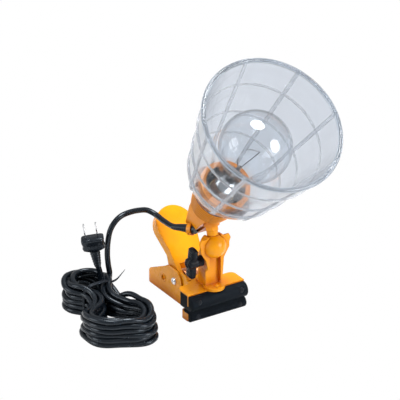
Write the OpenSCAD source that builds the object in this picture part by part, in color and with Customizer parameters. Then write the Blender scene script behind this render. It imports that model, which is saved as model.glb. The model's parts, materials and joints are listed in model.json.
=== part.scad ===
// Clip-on work lamp: sprung steel clamp, ball-jointed arm, ribbed lampholder and clear cup guard.
// Millimetres, +Z up. The origin is on the ground straight under the hinge pin. The jaws face -Y.

/* [Clamp sheet] */
// Thickness of the pressed steel sheet
sheet_t = 1.5; // [1:0.1:2]
// Outside width of the lower channel
channel_w = 41.2; // [38:0.2:44]
// Side gap between the nested upper and lower cheeks
cheek_gap = 0.3; // [0.2:0.05:0.5]
// Height of the hinge pin above the ground
pin_h = 22.7; // [21:0.1:25]
// Diameter of the hinge pin
pin_d = 6; // [5:0.1:7]
// Diameter of the hinge pin's round head
pin_head_d = 8; // [7.5:0.1:9]
// Running clearance on the radius of turning fits
run_clear = 0.05; // [0.03:0.01:0.08]
// Length of the lower handle behind the pin
lower_handle_l = 58.7; // [54:0.1:62]
// Radius of the lower handle's rear corners
lower_corner_r = 11; // [8:0.5:14]
// Height of the lower cheeks at their highest point
lower_cheek_h = 37; // [35:0.5:39]
// Diameter of the hanging hole through the lower cheeks
hang_hole_d = 6; // [4:0.5:7]
// Distance of the hanging hole behind the pin
hang_hole_y = 21.6; // [19:0.1:25]
// Height of the hanging hole
hang_hole_h = 17.5; // [15:0.1:19]

/* [Jaws] */
// Width of both jaws
jaw_w = 69; // [64:1:76]
// Distance from the pin to the front edge of the jaw plates
jaw_reach = 49.5; // [46:0.5:53]
// Depth of the lower jaw shelf
lower_shelf_d = 14.5; // [13:0.5:15]
// Height of the lower jaw shelf's top face
lower_shelf_h = 9; // [8:0.5:10]
// Height of the lower pad's gripping face
lower_pad_h = 12.4; // [12:0.1:13]
// Gap between the two pads at rest
pad_gap = 0.3; // [0.2:0.1:0.6]
// Height of the upper jaw plate's top face
upper_top_h = 31; // [30:0.5:33]
// Depth of the upper jaw's side wings
wing_d = 22; // [20:0.5:24]
// Radius of the wings' rear corners
wing_corner_r = 6; // [4:0.5:8]
// Radius of the round tab over the upper pad
tab_r = 12; // [10:0.5:14]
// Diameter of the pad rivet heads
pad_rivet_d = 6.4; // [5:0.2:7]
// Side distance of the pad rivets from the middle
pad_rivet_x = 26; // [23:0.5:29]

/* [Upper handle] */
// Rise angle of the upper handle's face
handle_angle = 46; // [43:0.5:49]
// Length of the upper handle's face
handle_l = 78; // [74:0.5:82]
// Radius of the upper handle's round end
handle_end_r = 22.5; // [21.5:0.1:24]
// Depth of the rolled rim round the upper handle
handle_rim = 10; // [8:0.5:11]
// Length of the handle's parallel stretch before it flares
handle_flare = 30; // [27:0.5:33]

/* [Spring] */
// Wire diameter of the torsion spring
spring_wire_d = 2.4; // [2:0.1:2.6]
// Mean radius of the torsion spring's coil
spring_r = 9; // [8:0.1:9.2]
// Number of turns of the torsion spring
spring_turns = 9; // [6:1:11]

/* [Arm] */
// Diameter of the swivel ball
ball_d = 25.8; // [24:0.1:27]
// Distance of the ball behind the jaws' front edge
ball_set = 4.6; // [4:0.1:6]
// Height of the ball's centre above the upper jaw plate
ball_rise = 46.8; // [45:0.1:49]
// Thickness of the arm's sheet
arm_t = 2; // [1.6:0.1:2.2]
// Gap between the ball and its cups
cup_clear = 0.15; // [0.1:0.05:0.3]
// Half the slot between the two cups
slot_half = 6.9; // [6.7:0.1:7.2]
// Depth of the folded post from front to back
post_d = 14; // [12:0.5:15]
// Distance of the clamp bolt below the ball's centre
bolt_drop = 17.6; // [17:0.1:19]
// Distance of the clamp bolt behind the ball's centre
bolt_back = 7.8; // [7:0.1:9]
// Diameter of the clamp bolt
bolt_d = 5; // [4:0.1:5.2]

/* [Wing knob] */
// Length of the knob's wings from tip to tip
knob_l = 34.5; // [31:0.5:36]
// Width of the knob's wings
knob_w = 12; // [10:0.5:13]
// Thickness of the knob's wings
knob_t = 8; // [7:0.5:9]
// Diameter of the knob's hub
hub_d = 12.6; // [11:0.2:13.6]
// Length of the knob's hub behind the wings
hub_l = 8; // [7:0.5:9]

/* [Stem and housing] */
// Backward lean of the ball's stem
stem_lean = 12; // [10:1:14]
// Distance from the ball's centre to the socket cover's bottom
stem_span = 42.6; // [41:0.1:45]
// Diameter of the ball's stem
stem_d = 12; // [11:0.1:12.6]
// Diameter of the stem's threaded end
spigot_d = 8; // [7:0.1:9]
// Depth of the stem's bore in the ball
ball_bore = 10; // [8:0.5:11]
// Thickness of the stem nut
nut_t = 5; // [4:0.5:6]
// Forward tilt of the lampholder's axis from upright
head_tilt = 40; // [37:1:42]
// Half width of the housing base
base_half_w = 12.4; // [11.5:0.1:14]
// Length of the housing base below the socket cover
base_l = 36.5; // [34:0.5:38]
// Wall of the housing base
base_wall = 2.4; // [2:0.1:2.8]

/* [Socket cover] */
// Length of the ribbed socket cover
cover_l = 51.5; // [50:0.5:54]
// Outside radius of the cover's mouth
cover_top_r = 26.8; // [26:0.1:28]
// Outside radius of the cover's bottom
cover_bottom_r = 20.6; // [20:0.1:22]
// Number of ridges round the cover
ridge_count = 9; // [7:1:12]
// Depth of the cover's ridges
ridge_d = 1.1; // [0.6:0.1:1.4]
// Radius of the socket body
socket_r = 21.5; // [21:0.1:22]
// Inside radius of the socket's open mouth
socket_mouth_r = 18.6; // [17.5:0.1:19]
// Depth of the socket's open mouth
socket_mouth_d = 13; // [11:0.5:15]
// Wall of the brass screw shell
shell_wall = 0.5; // [0.4:0.1:0.8]
// Length of the brass screw shell below the socket's open mouth
shell_l = 17; // [15:0.5:18]

/* [Bulb] */
// Radius of the bulb's screw cap
cap_r = 13.05; // [12.9:0.01:13.1]
// Length of the bulb's screw cap
cap_l = 25; // [24:0.5:26]
// Clearance between the screw cap and the screw shell
cap_clear = 0.3; // [0.2:0.05:0.5]
// Radius of the bulb's globe
globe_r = 37.6; // [35:0.1:39]
// Height of the globe's centre above the socket's mouth
globe_h = 80.3; // [78:0.1:83]
// Wall of the bulb's glass
glass_t = 0.9; // [0.7:0.1:1.2]

/* [Guard] */
// Height of the guard's rim above the socket's mouth
guard_h = 126.7; // [124:0.1:132]
// Outside radius of the guard's wall at the rim
guard_rim_r = 73.6; // [71:0.1:77]
// Outside radius of the guard's wall at its rounded bottom
guard_low_r = 47.4; // [46:0.1:50]
// Wall of the guard
guard_wall = 2.2; // [1.8:0.1:3]
// Radius of the guard's rounded bottom edge
guard_round_r = 17; // [15:0.5:19]
// Thickness of the bead round the guard's rim
rim_bead = 5; // [4:0.2:6]
// Width of the guard's long ribs
rib_w = 4.4; // [3:0.2:6]
// Height of the guard's long ribs
rib_h = 1.2; // [0.8:0.1:1.8]
// Number of the guard's long ribs
rib_count = 8; // [6:1:10]
guard_turn = 18; // [0:1:22]

/* [Cord and plug] */
// Diameter of the round cord
cord_d = 6; // [5:0.1:6.6]
// Length of the cord bush outside the housing
bush_l = 12; // [10:0.5:14]
// Width of the plug body
plug_w = 24; // [22:0.5:26]
// Thickness of the plug body
plug_t = 14; // [12:0.5:16]
// Height of the plug body's block
plug_h = 15; // [13:0.5:18]
// Length of the plug's tapered neck
plug_neck_l = 20; // [18:0.5:24]
// Length of the plug's blades
blade_l = 16.5; // [15:0.5:18]
// Distance between the plug's blades
blade_pitch = 12.7; // [12.5:0.1:12.9]

/* [Hidden] */
$fn = 64;
eps = 0.01;
pan_overrun = 20;

paint = "orange";
rubber_black = [0.12, 0.13, 0.15];
plastic_black = [0.08, 0.09, 0.1];
clear_tint = [0.75, 0.8, 0.85, 0.5];

// Places that follow from the sizes above
outer_half = channel_w / 2;
inner_half = outer_half - sheet_t;
upper_half = inner_half - cheek_gap;
upper_inner = upper_half - sheet_t;
jaw_y = -jaw_reach;
upper_pad_bottom = lower_pad_h + pad_gap;
upper_plate_bottom = upper_top_h - sheet_t;
wing_rear_y = jaw_y + wing_d;
shelf_rear_y = jaw_y + lower_shelf_d;
face_base_y = -9.3;
ledge_rear_y = face_base_y - 5.1;
window_half = upper_inner - 3.5;
lobe_r = 10;
window_up = 14;

upper_pad_r = (upper_plate_bottom - upper_pad_bottom) / 2;
upper_pad_z = upper_pad_bottom + upper_pad_r;
lower_pad_r = lower_pad_h / 2;
upper_rivet_z = upper_pad_z + 2.8;
pad_rivet_head = 2.2;
pad_rivet_seat = 1.6;
flange_drop = 13;

ball_r = ball_d / 2;
ball_y = jaw_y + ball_set;
ball_z = upper_top_h + ball_rise;
cup_in = ball_r + cup_clear;
cup_out = cup_in + arm_t;
plate_out = slot_half + arm_t;
post_front_y = ball_y + 2.1;
post_rear_y = post_front_y + post_d;
bolt_y = ball_y + bolt_back;
bolt_z = ball_z - bolt_drop;
post_split_z = bolt_z - 11;
cup_front_y = ball_y - 2.6;
foot_t = 2;
foot_r = 11.5;
foot_rear_y = post_rear_y + 5.5;
foot_rivet_y = [ball_y - 6, post_rear_y + 2.4];

washer_t = 1;
bolt_head_t = 4;
hub_start = plate_out + washer_t;
wing_in = hub_start + hub_l;
wing_out = wing_in + knob_t;
hub_boss = 2.4;
insert_r = bolt_d / 2 + 1.6;
knob_turn = 9;
// The cups' lips stay inside the turning wings
lip_in = wing_in - 0.6;

flat_h = ball_r - 1.4;
stem_start = flat_h + 0.1;
nut_start = 17.5;
boss_start = nut_start + nut_t;
spigot_end = boss_start + 9;
boss_r = 8.6;
join_y = ball_y + stem_span * sin(stem_lean);
join_z = ball_z + stem_span * cos(stem_lean);

mouth_h = cover_l;
socket_step = 21;
socket_low_r = 17;
socket_floor = mouth_h - socket_mouth_d - shell_l;
socket_bottom = socket_floor - 8;
shell_in = cap_r + cap_clear;
shell_out = shell_in + shell_wall;
contact_t = 0.8;
cap_top = mouth_h + 1;
cap_bottom = cap_top - cap_l;
tip_h = cap_bottom - socket_floor - contact_t;
tip_r = 4.6;
cover_fit = 0.2;
cover_floor = 2.5;
neck_h0 = mouth_h - 19;
neck_h1 = mouth_h - 11;
neck_clear = 0.15;
neck_wall = 2.6;
globe_z = mouth_h + globe_h;
rim_z = mouth_h + guard_h;
round_h = mouth_h + 12;
guard_slope = (guard_rim_r - guard_low_r) / (rim_z - round_h);
ring_z = [mouth_h + 22, mouth_h + 51.5, mouth_h + 91.7];
ring_r = 1.5;

// The cord leaves the housing here and in this direction
exit_at = [-12.4, -18.5, 89.6];
exit_dir = [-0.44, 0.888, -0.13] / norm([-0.44, 0.888, -0.13]);
bush_root_r = 5;
bush_tip = exit_at + bush_l * exit_dir;
bush_in = 7;

// The cord's free stretch, from the bush over the upper handle and down to the hank
lead_route = [bush_tip + 0.6 * exit_dir, [-20.5, -1, 86.5], [-21.3, 8, 85.6], [-21.6, 21, 85.6], [-22.4, 33, 87],
    [-28, 40.5, 90.5], [-38, 40, 93.5], [-50, 38, 95.5], [-62, 36.5, 95], [-71, 35.5, 90.5],
    [-77.5, 34.8, 82], [-80.8, 34, 70], [-82, 33.5, 57], [-81.8, 32.5, 46], [-81, 31, 36]];
hank_top = 36;
// The cord's last stretch, from the hank up to the plug's neck
tail_route = [[-90, 33, 36], [-92, 33.5, 41], [-93.4, 34, 46]];
plug_at = [-93.4, 34, 46];
plug_lean = [-1.5, -9.8, 0];
plug_face = -31;

hank_waist_y = 19;
waist_l = -121;
waist_r = -83;
waist_x = [waist_l, waist_r];
tie_t = 2.4;
tie_w = 4;

// Straight-line helpers --------------------------------------------------------------------------

// A flat drawing in Y and Z, stretched along X about the middle
module across(w) { rotate([90, 0, 90]) linear_extrude(w, center = true) children(); }

// A straight round bar along X between two places
module bar_x(r, x0, x1) { translate([x0, 0, 0]) rotate([0, 90, 0]) cylinder(r = r, h = x1 - x0); }

// A straight round bar along Y between two places
module bar_y(r, y0, y1) { translate([0, y0, 0]) rotate([-90, 0, 0]) cylinder(r = r, h = y1 - y0); }

module at_pin() { translate([0, 0, pin_h]) children(); }
module at_ball() { translate([0, ball_y, ball_z]) children(); }
module at_bolt() { translate([0, bolt_y, bolt_z]) children(); }
module at_stem() { at_ball() rotate([-stem_lean, 0, 0]) children(); }
module at_head() { translate([0, join_y, join_z]) rotate([head_tilt, 0, 0]) children(); }
module at_face() { translate([0, face_base_y, upper_top_h]) rotate([handle_angle, 0, 0]) children(); }

// Both sides of the lamp, left and right
module both_sides() { children(); mirror([1, 0, 0]) children(); }

// A rectangle whose two far corners are round
module round_rear(half, y0, y1, r) {
    translate([-half, y0]) square([2 * half, y1 - y0 - r]);
    translate([r - half, y0]) square([2 * (half - r), y1 - y0]);
    both_sides() translate([half - r, y1 - r]) circle(r);
}

// A place on the upper handle's face line, in Y and Z
function on_face(u, w) = [face_base_y + u * cos(handle_angle) - w * sin(handle_angle),
    upper_top_h + u * sin(handle_angle) + w * cos(handle_angle)];

// A tube swept along points, one ring of sides at each point
function unit(v) = v / norm(v);
function tangent(p, i) = unit(p[min(i + 1, len(p) - 1)] - p[max(i - 1, 0)]);
function ring_at(p, i, r, sides, up) =
    let (t = tangent(p, i), a = unit(cross(up, t)), b = cross(t, a))
    [for (k = [0 : sides - 1]) p[i] + r * (cos(360 * k / sides) * a + sin(360 * k / sides) * b)];
module sweep(p, r, sides = 10, up = [1, 1, 1]) {
    rings = len(p);
    points = [for (i = [0 : rings - 1]) each ring_at(p, i, r, sides, up)];
    sides_faces = [for (i = [0 : rings - 2]) for (k = [0 : sides - 1])
        let (j = (k + 1) % sides, low = i * sides, high = low + sides)
        each [[low + k, high + j, low + j], [low + k, high + k, high + j]]];
    start = [for (k = [0 : sides - 1]) k];
    finish = [for (k = [sides - 1 : -1 : 0]) (rings - 1) * sides + k];
    polyhedron(points, concat([start], sides_faces, [finish]), convexity = 10);
}

// Lower half of the clamp ------------------------------------------------------------------------

module lower_cheek_profile() {
    polygon([[-18.5, 0], [-18.5, 4], [-12.4, upper_top_h - 1], [-6, lower_cheek_h - 1.5], [2, lower_cheek_h],
        [9.3, lower_cheek_h], [lower_handle_l - lower_corner_r, 18], [lower_handle_l - 3, 10.5],
        [lower_handle_l, 8], [lower_handle_l, 0]]);
}

module lower_jaw_plate() color(paint) difference() {
    union() {
        // web of the channel
        linear_extrude(sheet_t) round_rear(outer_half, shelf_rear_y - sheet_t, lower_handle_l, lower_corner_r);
        // cheeks and rear rim
        intersection() {
            linear_extrude(lower_cheek_h) difference() {
                round_rear(outer_half, -18.5, lower_handle_l, lower_corner_r);
                round_rear(inner_half, -18.5 - pan_overrun, lower_handle_l - sheet_t, lower_corner_r - sheet_t);
            }
            across(channel_w + 2) lower_cheek_profile();
        }
        // jaw shelf, a shallow upturned pan
        difference() {
            linear_extrude(lower_shelf_h) round_rear(jaw_w / 2, jaw_y, shelf_rear_y, 4);
            translate([0, 0, -eps]) linear_extrude(lower_shelf_h - sheet_t + eps)
                round_rear(jaw_w / 2 - sheet_t, jaw_y + sheet_t, shelf_rear_y - sheet_t, 4 - sheet_t);
        }
    }
    at_pin() bar_x(pin_d / 2, -outer_half - 1, outer_half + 1);
    translate([0, hang_hole_y, hang_hole_h]) bar_x(hang_hole_d / 2, -outer_half - 1, outer_half + 1);
    // the shelf's front wall stops short of the ground
    translate([-jaw_w, jaw_y - 1, -1]) cube([2 * jaw_w, 2.6, 2.5]);
}

module pad_rivet_places(z) { for (x = [-pad_rivet_x, pad_rivet_x]) translate([x, 0, z]) children(); }

lower_seat_y = jaw_y - lower_pad_r + pad_rivet_seat;
upper_seat_y = jaw_y - upper_pad_r - 0.8 + pad_rivet_seat;

module pad_rivets(z, seat_y) {
    pad_rivet_places(z) translate([0, seat_y, 0]) rotate([90, 0, 0]) {
        translate([0, 0, seat_y - jaw_y]) cylinder(r = 1.5, h = jaw_y - seat_y + eps);
        cylinder(r1 = pad_rivet_d / 2 - 0.2, r2 = pad_rivet_d / 2 - 1, h = pad_rivet_head);
    }
}

module rivet_cuts(z, seat_y) {
    pad_rivet_places(z) {
        bar_y(1.5, seat_y - 1, jaw_y + 1);
        bar_y(pad_rivet_d / 2, seat_y - 20, seat_y);
    }
}

module lower_jaw_pad() color(rubber_black) difference() {
    across(jaw_w) {
        translate([jaw_y, lower_pad_r]) circle(lower_pad_r);
        translate([jaw_y, 0]) square([8.5, lower_pad_h]);
    }
    translate([-jaw_w, jaw_y, -1]) cube([2 * jaw_w, 20, lower_shelf_h + 1]);
    rivet_cuts(lower_pad_r, lower_seat_y);
}

module lower_pad_rivets() color(plastic_black) pad_rivets(lower_pad_r, lower_seat_y);

module hinge_pin() color("silver") at_pin() {
    bar_x(pin_d / 2, -outer_half - eps, outer_half + 3);
    intersection() {
        translate([-outer_half + 1.5, 0, 0]) sphere(r = pin_head_d / 2 + 0.4);
        bar_x(pin_head_d / 2, -outer_half - 2.6, -outer_half);
    }
}

module pin_clip() color("silver") at_pin() difference() {
    bar_x(pin_d / 2 + 2, outer_half, outer_half + 1);
    bar_x(pin_d / 2, outer_half - 1, outer_half + 2);
}

spring_half = 13;
spring_pitch = 2 * (spring_half - spring_wire_d) / spring_turns;
spring_steps = 12;
spring_x = spring_half - spring_wire_d;
// The coil starts at its lowest point on the left and ends at its highest point on the right
coil_points = [for (i = [0 : (spring_turns + 0.5) * spring_steps])
    let (a = 270 + 360 * i / spring_steps)
    [-spring_x + spring_pitch * i / spring_steps, spring_r * cos(a), pin_h + spring_r * sin(a)]];
coil_last = coil_points[len(coil_points) - 1];
// The lower leg runs back and down to the web, and the upper leg up under the handle's face
leg_rest_z = sheet_t + spring_wire_d / 2 + 0.1;
spring_lower_run = [[-spring_x, 24, leg_rest_z], [-spring_x, 14, leg_rest_z + 1.5], [-spring_x, 7, pin_h - spring_r - 3]];
leg_tip = on_face(30, -sheet_t - spring_wire_d / 2 - 0.1);
leg_mid = on_face(18, -sheet_t - spring_wire_d / 2 - 1.5);
spring_upper_run = [[coil_last[0], leg_mid[0], leg_mid[1]], [coil_last[0], leg_tip[0], leg_tip[1]]];

module torsion_spring() color([0.6, 0.35, 0.2]) sweep(concat(spring_lower_run, coil_points, spring_upper_run),
    spring_wire_d / 2, 8, [1, 0.02, 0.01]);

// Upper half of the clamp ------------------------------------------------------------------------

// The handle's outline: parallel, then flared on a tangent to the round end
module handle_outline(half, end_r, length) {
    centre = length - end_r;
    rise = centre - handle_flare;
    reach = norm([half, rise]);
    turn = atan2(rise, half) - acos(min(1, end_r / reach));
    polygon([[-half, 0], [half, 0], [half, handle_flare], [end_r * cos(turn), centre - end_r * sin(turn)],
        [-end_r * cos(turn), centre - end_r * sin(turn)], [-half, handle_flare]]);
    translate([0, centre]) circle(end_r);
}

module upper_cheek_profile() {
    polygon([[wing_rear_y, upper_top_h - eps], [wing_rear_y, upper_top_h - 6], [-7.2, pin_h - 7],
        [7, pin_h - 7.1], [lobe_r, pin_h], on_face(handle_flare - 1, 0.5 - handle_rim), on_face(handle_flare - 1, -0.4),
        on_face(7, -0.4), [-19, upper_top_h + 5], [-24, upper_top_h - eps]]);
    translate([0, pin_h]) circle(lobe_r);
}

module upper_wings() {
    round_rear(jaw_w / 2, jaw_y, wing_rear_y, wing_corner_r);
    translate([0, jaw_y + tab_r - 7]) circle(tab_r);
    translate([0.05 - upper_half, wing_rear_y - 1]) square([2 * upper_half - 0.1, face_base_y - wing_rear_y + 1.5]);
}

// The pan's skirt is a hair thicker than the cheeks, so that their faces don't coincide
pan_inner = upper_inner - 0.05;

module upper_jaw_plate() color(paint) difference() {
    union() {
        translate([0, 0, upper_plate_bottom]) linear_extrude(sheet_t) upper_wings();
        // downturned front flange behind the pad
        translate([-jaw_w / 2, jaw_y, upper_top_h - flange_drop]) cube([jaw_w, sheet_t, flange_drop]);
        // cheeks
        both_sides() translate([upper_half - sheet_t / 2, 0, 0]) across(sheet_t - 0.04) upper_cheek_profile();
        // handle pan
        at_face() difference() {
            translate([0, 0, -handle_rim]) linear_extrude(handle_rim)
                handle_outline(upper_half, handle_end_r, handle_l);
            translate([0, 0, -handle_rim - 1]) linear_extrude(handle_rim + 1 - sheet_t)
                handle_outline(pan_inner, handle_end_r - sheet_t, handle_l - sheet_t);
            translate([-pan_inner, -1, -handle_rim - 1]) cube([2 * pan_inner, 3, handle_rim + 1 - sheet_t]);
        }
    }
    // window over the spring
    across(2 * window_half) polygon([[ledge_rear_y, upper_plate_bottom - 2], [ledge_rear_y, upper_top_h + 2],
        on_face(window_up, 3), on_face(window_up, -sheet_t - 2), [face_base_y + 6, upper_plate_bottom - 2]]);
    at_pin() bar_x(pin_d / 2 + run_clear, -outer_half, outer_half);
    // spring anchor hole
    translate([-15, -22, upper_plate_bottom - 1]) cylinder(r = 1.2, h = sheet_t + 2);
}

module upper_jaw_pad() color(rubber_black) difference() {
    across(jaw_w) {
        translate([jaw_y - 0.8, upper_pad_z]) circle(upper_pad_r);
        translate([jaw_y - 0.8, upper_pad_bottom]) square([16, upper_plate_bottom - upper_pad_bottom]);
    }
    translate([-jaw_w, jaw_y, upper_top_h - flange_drop]) cube([2 * jaw_w, sheet_t, flange_drop]);
    rivet_cuts(upper_rivet_z, upper_seat_y);
}

module upper_pad_rivets() color(plastic_black) pad_rivets(upper_rivet_z, upper_seat_y);

// Arm --------------------------------------------------------------------------------------------

// One side of the ball's cup with the flat cheek under it, on the +X side
module cup_side(low_z) difference() {
    union() {
        intersection() {
            at_ball() sphere(r = cup_out);
            translate([slot_half, cup_front_y, ball_z - 12]) cube([20, 22, 24]);
        }
        // lip along the cup's front edge
        translate([0, cup_front_y + arm_t, 0]) rotate([90, 0, 0]) linear_extrude(arm_t)
            polygon([[slot_half, low_z + 4], [plate_out, low_z + 4], [plate_out + 2, bolt_z + 3],
                [lip_in, ball_z - 4], [lip_in + 0.1, ball_z + 1.5], [19, ball_z + 6],
                [17, ball_z + 10.5], [slot_half, ball_z + 10.5]]);
        // flat cheek
        translate([slot_half, 0, 0]) rotate([90, 0, 90]) linear_extrude(arm_t)
            polygon([[post_front_y, low_z], [post_rear_y, low_z], [post_rear_y, bolt_z + 6],
                [ball_y + 8, ball_z], [cup_front_y, ball_z], [cup_front_y, low_z + 6]]);
    }
    at_ball() sphere(r = cup_in);
    at_bolt() bar_x(bolt_d / 2 + 0.1, 0, 30);
}

module arm_foot() {
    translate([0, ball_y]) circle(foot_r);
    translate([-plate_out, ball_y]) square([2 * plate_out, foot_rear_y - ball_y]);
}

module arm_post() color(paint) difference() {
    union() {
        translate([0, 0, upper_top_h]) linear_extrude(foot_t) arm_foot();
        // front web and left wall of the folded post
        translate([-plate_out, post_front_y, upper_top_h + foot_t - eps])
            cube([2 * plate_out, arm_t, post_split_z - upper_top_h - foot_t + eps]);
        translate([-plate_out, post_front_y, upper_top_h + foot_t - eps])
            cube([arm_t, post_d, post_split_z - upper_top_h - foot_t + eps]);
        cup_side(upper_top_h + foot_t - eps);
        // tongue from the front web up to the ball, folded from the right cheek
        difference() {
            translate([-slot_half + 0.35, post_front_y + 0.05, post_split_z - 4])
                cube([2 * slot_half + 0.25, arm_t - 0.1, ball_z - ball_d / 2 + 3 - post_split_z + 4]);
            at_ball() sphere(r = ball_d / 2 + 0.9);
        }
    }
    for (y = foot_rivet_y) translate([0, y, upper_top_h - 1]) cylinder(r = 1.6, h = 10);
}

module clamp_plate() color(paint) mirror([1, 0, 0]) cup_side(post_split_z + 0.3);

module post_rivets() color("silver") for (y = foot_rivet_y) translate([0, y, 0]) {
    translate([0, 0, upper_top_h]) cylinder(r = 1.6, h = foot_t);
    intersection() {
        translate([0, 0, upper_top_h + foot_t - 1]) sphere(r = 2.8);
        translate([0, 0, upper_top_h + foot_t]) cylinder(r = 2.7, h = 2);
    }
}

module clamp_bolt() color("silver") at_bolt() {
    bar_x(bolt_d / 2, -wing_out + 2, plate_out);
    rotate([0, 90, 0]) translate([0, 0, plate_out]) cylinder(r = bolt_d * 0.9, h = bolt_head_t, $fn = 6);
}

module knob_washer() color("silver") at_bolt() difference() {
    bar_x(bolt_d / 2 + 2.6, -plate_out - washer_t, -plate_out);
    bar_x(bolt_d / 2 + 0.1, -plate_out - washer_t - 1, -plate_out + 1);
}

// Wing knob --------------------------------------------------------------------------------------

module knob_insert() color("goldenrod") at_bolt() difference() {
    bar_x(insert_r, -wing_in, -hub_start - 0.1);
    bar_x(bolt_d / 2 + run_clear, -wing_out, 0);
}

module wing_knob() color(plastic_black) at_bolt() rotate([knob_turn, 0, 0]) difference() {
    union() {
        bar_x(hub_d / 2, -wing_out - hub_boss, -hub_start - 0.1);
        translate([-wing_out, -knob_w / 2, -knob_l / 2]) cube([knob_t, knob_w, knob_l]);
    }
    bar_x(insert_r, -wing_in, 0);
    bar_x(bolt_d / 2 + run_clear, -wing_out + 1.5, 0);
}

// Ball and stem ----------------------------------------------------------------------------------

module swivel_ball() color(paint) at_stem() difference() {
    intersection() {
        sphere(r = ball_r);
        translate([0, 0, flat_h - ball_d]) cylinder(r = ball_d, h = ball_d);
    }
    translate([0, 0, flat_h - ball_bore]) cylinder(r = spigot_d / 2 + run_clear, h = ball_bore + 1);
}

module ball_stem() color(paint) at_stem() {
    translate([0, 0, flat_h - ball_bore + 0.2]) cylinder(r = spigot_d / 2, h = spigot_end - flat_h + ball_bore - 0.2);
    translate([0, 0, stem_start]) cylinder(r = stem_d / 2, h = nut_start - stem_start);
}

module stem_nut() color(paint) at_stem() translate([0, 0, nut_start]) difference() {
    cylinder(r = stem_d * 0.62, h = nut_t, $fn = 6);
    translate([0, 0, -1]) cylinder(r = spigot_d / 2, h = nut_t + 2);
}

// Housing and socket -----------------------------------------------------------------------------

module base_profile(inset, top) {
    polygon([[-15 + inset, top], [15 - inset, top], [12 - inset, -16], [4 - inset, inset - base_l],
        [-12 + inset, inset - base_l], [-12.5 + inset, -16]]);
}

module housing_base() color(paint) difference() {
    union() {
        difference() {
            at_head() across(2 * base_half_w) base_profile(0, 0);
            at_head() across(2 * (base_half_w - base_wall)) base_profile(base_wall, 1);
        }
        intersection() {
            at_stem() translate([0, 0, boss_start]) cylinder(r = boss_r, h = spigot_end - boss_start + 1.5);
            at_head() translate([-30, -30, -60]) cube([60, 60, 60]);
        }
        // snout round the cord
        translate(exit_at) snout(bush_root_r + 1.8, 3.5 - bush_in, 1);
    }
    at_stem() translate([0, 0, boss_start - 1]) cylinder(r = spigot_d / 2, h = spigot_end - boss_start + 1);
    translate(exit_at) snout(bush_root_r + 0.1, -20, bush_l + 2);
    // seat for the stem's nut
    at_stem() translate([0, 0, boss_start - 12]) cylinder(r = stem_d * 0.62 + 0.4, h = 12);
    base_screw_places() translate([0, 0, -6]) cylinder(r = 1.5, h = 8);
}

// A bar along the cord's exit direction, drawn at the exit
module snout(r, from, to) {
    turn = atan2(exit_dir[1], exit_dir[0]);
    fall = acos(exit_dir[2]);
    rotate([0, fall, turn]) translate([0, 0, from]) cylinder(r = r, h = to - from);
}

module cord_bush() color(rubber_black) translate(exit_at) {
    snout(bush_root_r, -bush_in, 1);
    turn = atan2(exit_dir[1], exit_dir[0]);
    fall = acos(exit_dir[2]);
    rotate([0, fall, turn]) translate([0, 0, 1 - eps])
        cylinder(r1 = bush_root_r, r2 = cord_d / 2 + 0.6, h = bush_l - 1 + eps);
}

function cover_r(h) = h > mouth_h - 16 ? cover_top_r
    : cover_bottom_r + (cover_top_r - cover_bottom_r) * sin(90 * h / (mouth_h - 16));
ridge_pitch = (mouth_h - 18) / ridge_count;

module socket_cover() color(paint) at_head() difference() {
    rotate_extrude() polygon(concat([[0, 0]],
        [for (k = [0 : ridge_count - 1]) each [[cover_r(k * ridge_pitch) - ridge_d, k * ridge_pitch],
            [cover_r((k + 0.5) * ridge_pitch), (k + 0.5) * ridge_pitch]]],
        [[cover_top_r - ridge_d, ridge_count * ridge_pitch], [cover_top_r, mouth_h - 17.2],
            [cover_top_r, mouth_h - 1], [cover_top_r - 1, mouth_h], [0, mouth_h]]));
    translate([0, 0, mouth_h - socket_step - 0.2]) cylinder(r = socket_r + cover_fit, h = socket_step + 1);
    translate([0, 0, cover_floor]) cylinder(r = socket_low_r + cover_fit, h = mouth_h);
    translate([0, 0, -1]) cylinder(r = 8, h = cover_floor + 2);
    base_screw_holes();
    guard_screw_places() bar_x(1.25, -3, 5);
}

module base_screw_places() at_head() for (x = [-1, 1]) translate([x * 10.6, 0, 0]) children();
module base_screw_holes() for (x = [-1, 1]) translate([x * 10.6, 0, -1]) cylinder(r = 1.5, h = 5);

module cover_screws() color("silver") base_screw_places() {
    translate([0, 0, -6]) cylinder(r = 1.5, h = 6 + cover_floor);
    translate([0, 0, cover_floor]) cylinder(r = 2.8, h = 1.6);
}

module socket_body() color(plastic_black) at_head() difference() {
    union() {
        translate([0, 0, mouth_h - socket_step]) cylinder(r = socket_r, h = socket_step - 0.5);
        translate([0, 0, socket_bottom]) cylinder(r = socket_low_r, h = mouth_h - socket_bottom - 1);
    }
    translate([0, 0, mouth_h - socket_mouth_d]) cylinder(r = socket_mouth_r, h = socket_mouth_d + 1);
    translate([0, 0, socket_floor]) cylinder(r = shell_out, h = mouth_h);
    for (x = [-1, 1]) translate([x * 8, 0, socket_bottom - 1]) cylinder(r = 1.6, h = 20);
}

module screw_shell() color("goldenrod") at_head() translate([0, 0, socket_floor + 2]) difference() {
    cylinder(r = shell_out, h = shell_l - 2);
    translate([0, 0, -1]) cylinder(r = shell_in, h = shell_l + 2);
}

module centre_contact() color("goldenrod") at_head() translate([-4, -3, socket_floor]) cube([8, 6, contact_t]);

module terminals() color("goldenrod") at_head() for (x = [-1, 1]) translate([x * 8, 0, socket_bottom - 4]) {
    cylinder(r = 1.6, h = socket_floor - socket_bottom + 4);
    cylinder(r = 3, h = 4);
}

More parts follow.
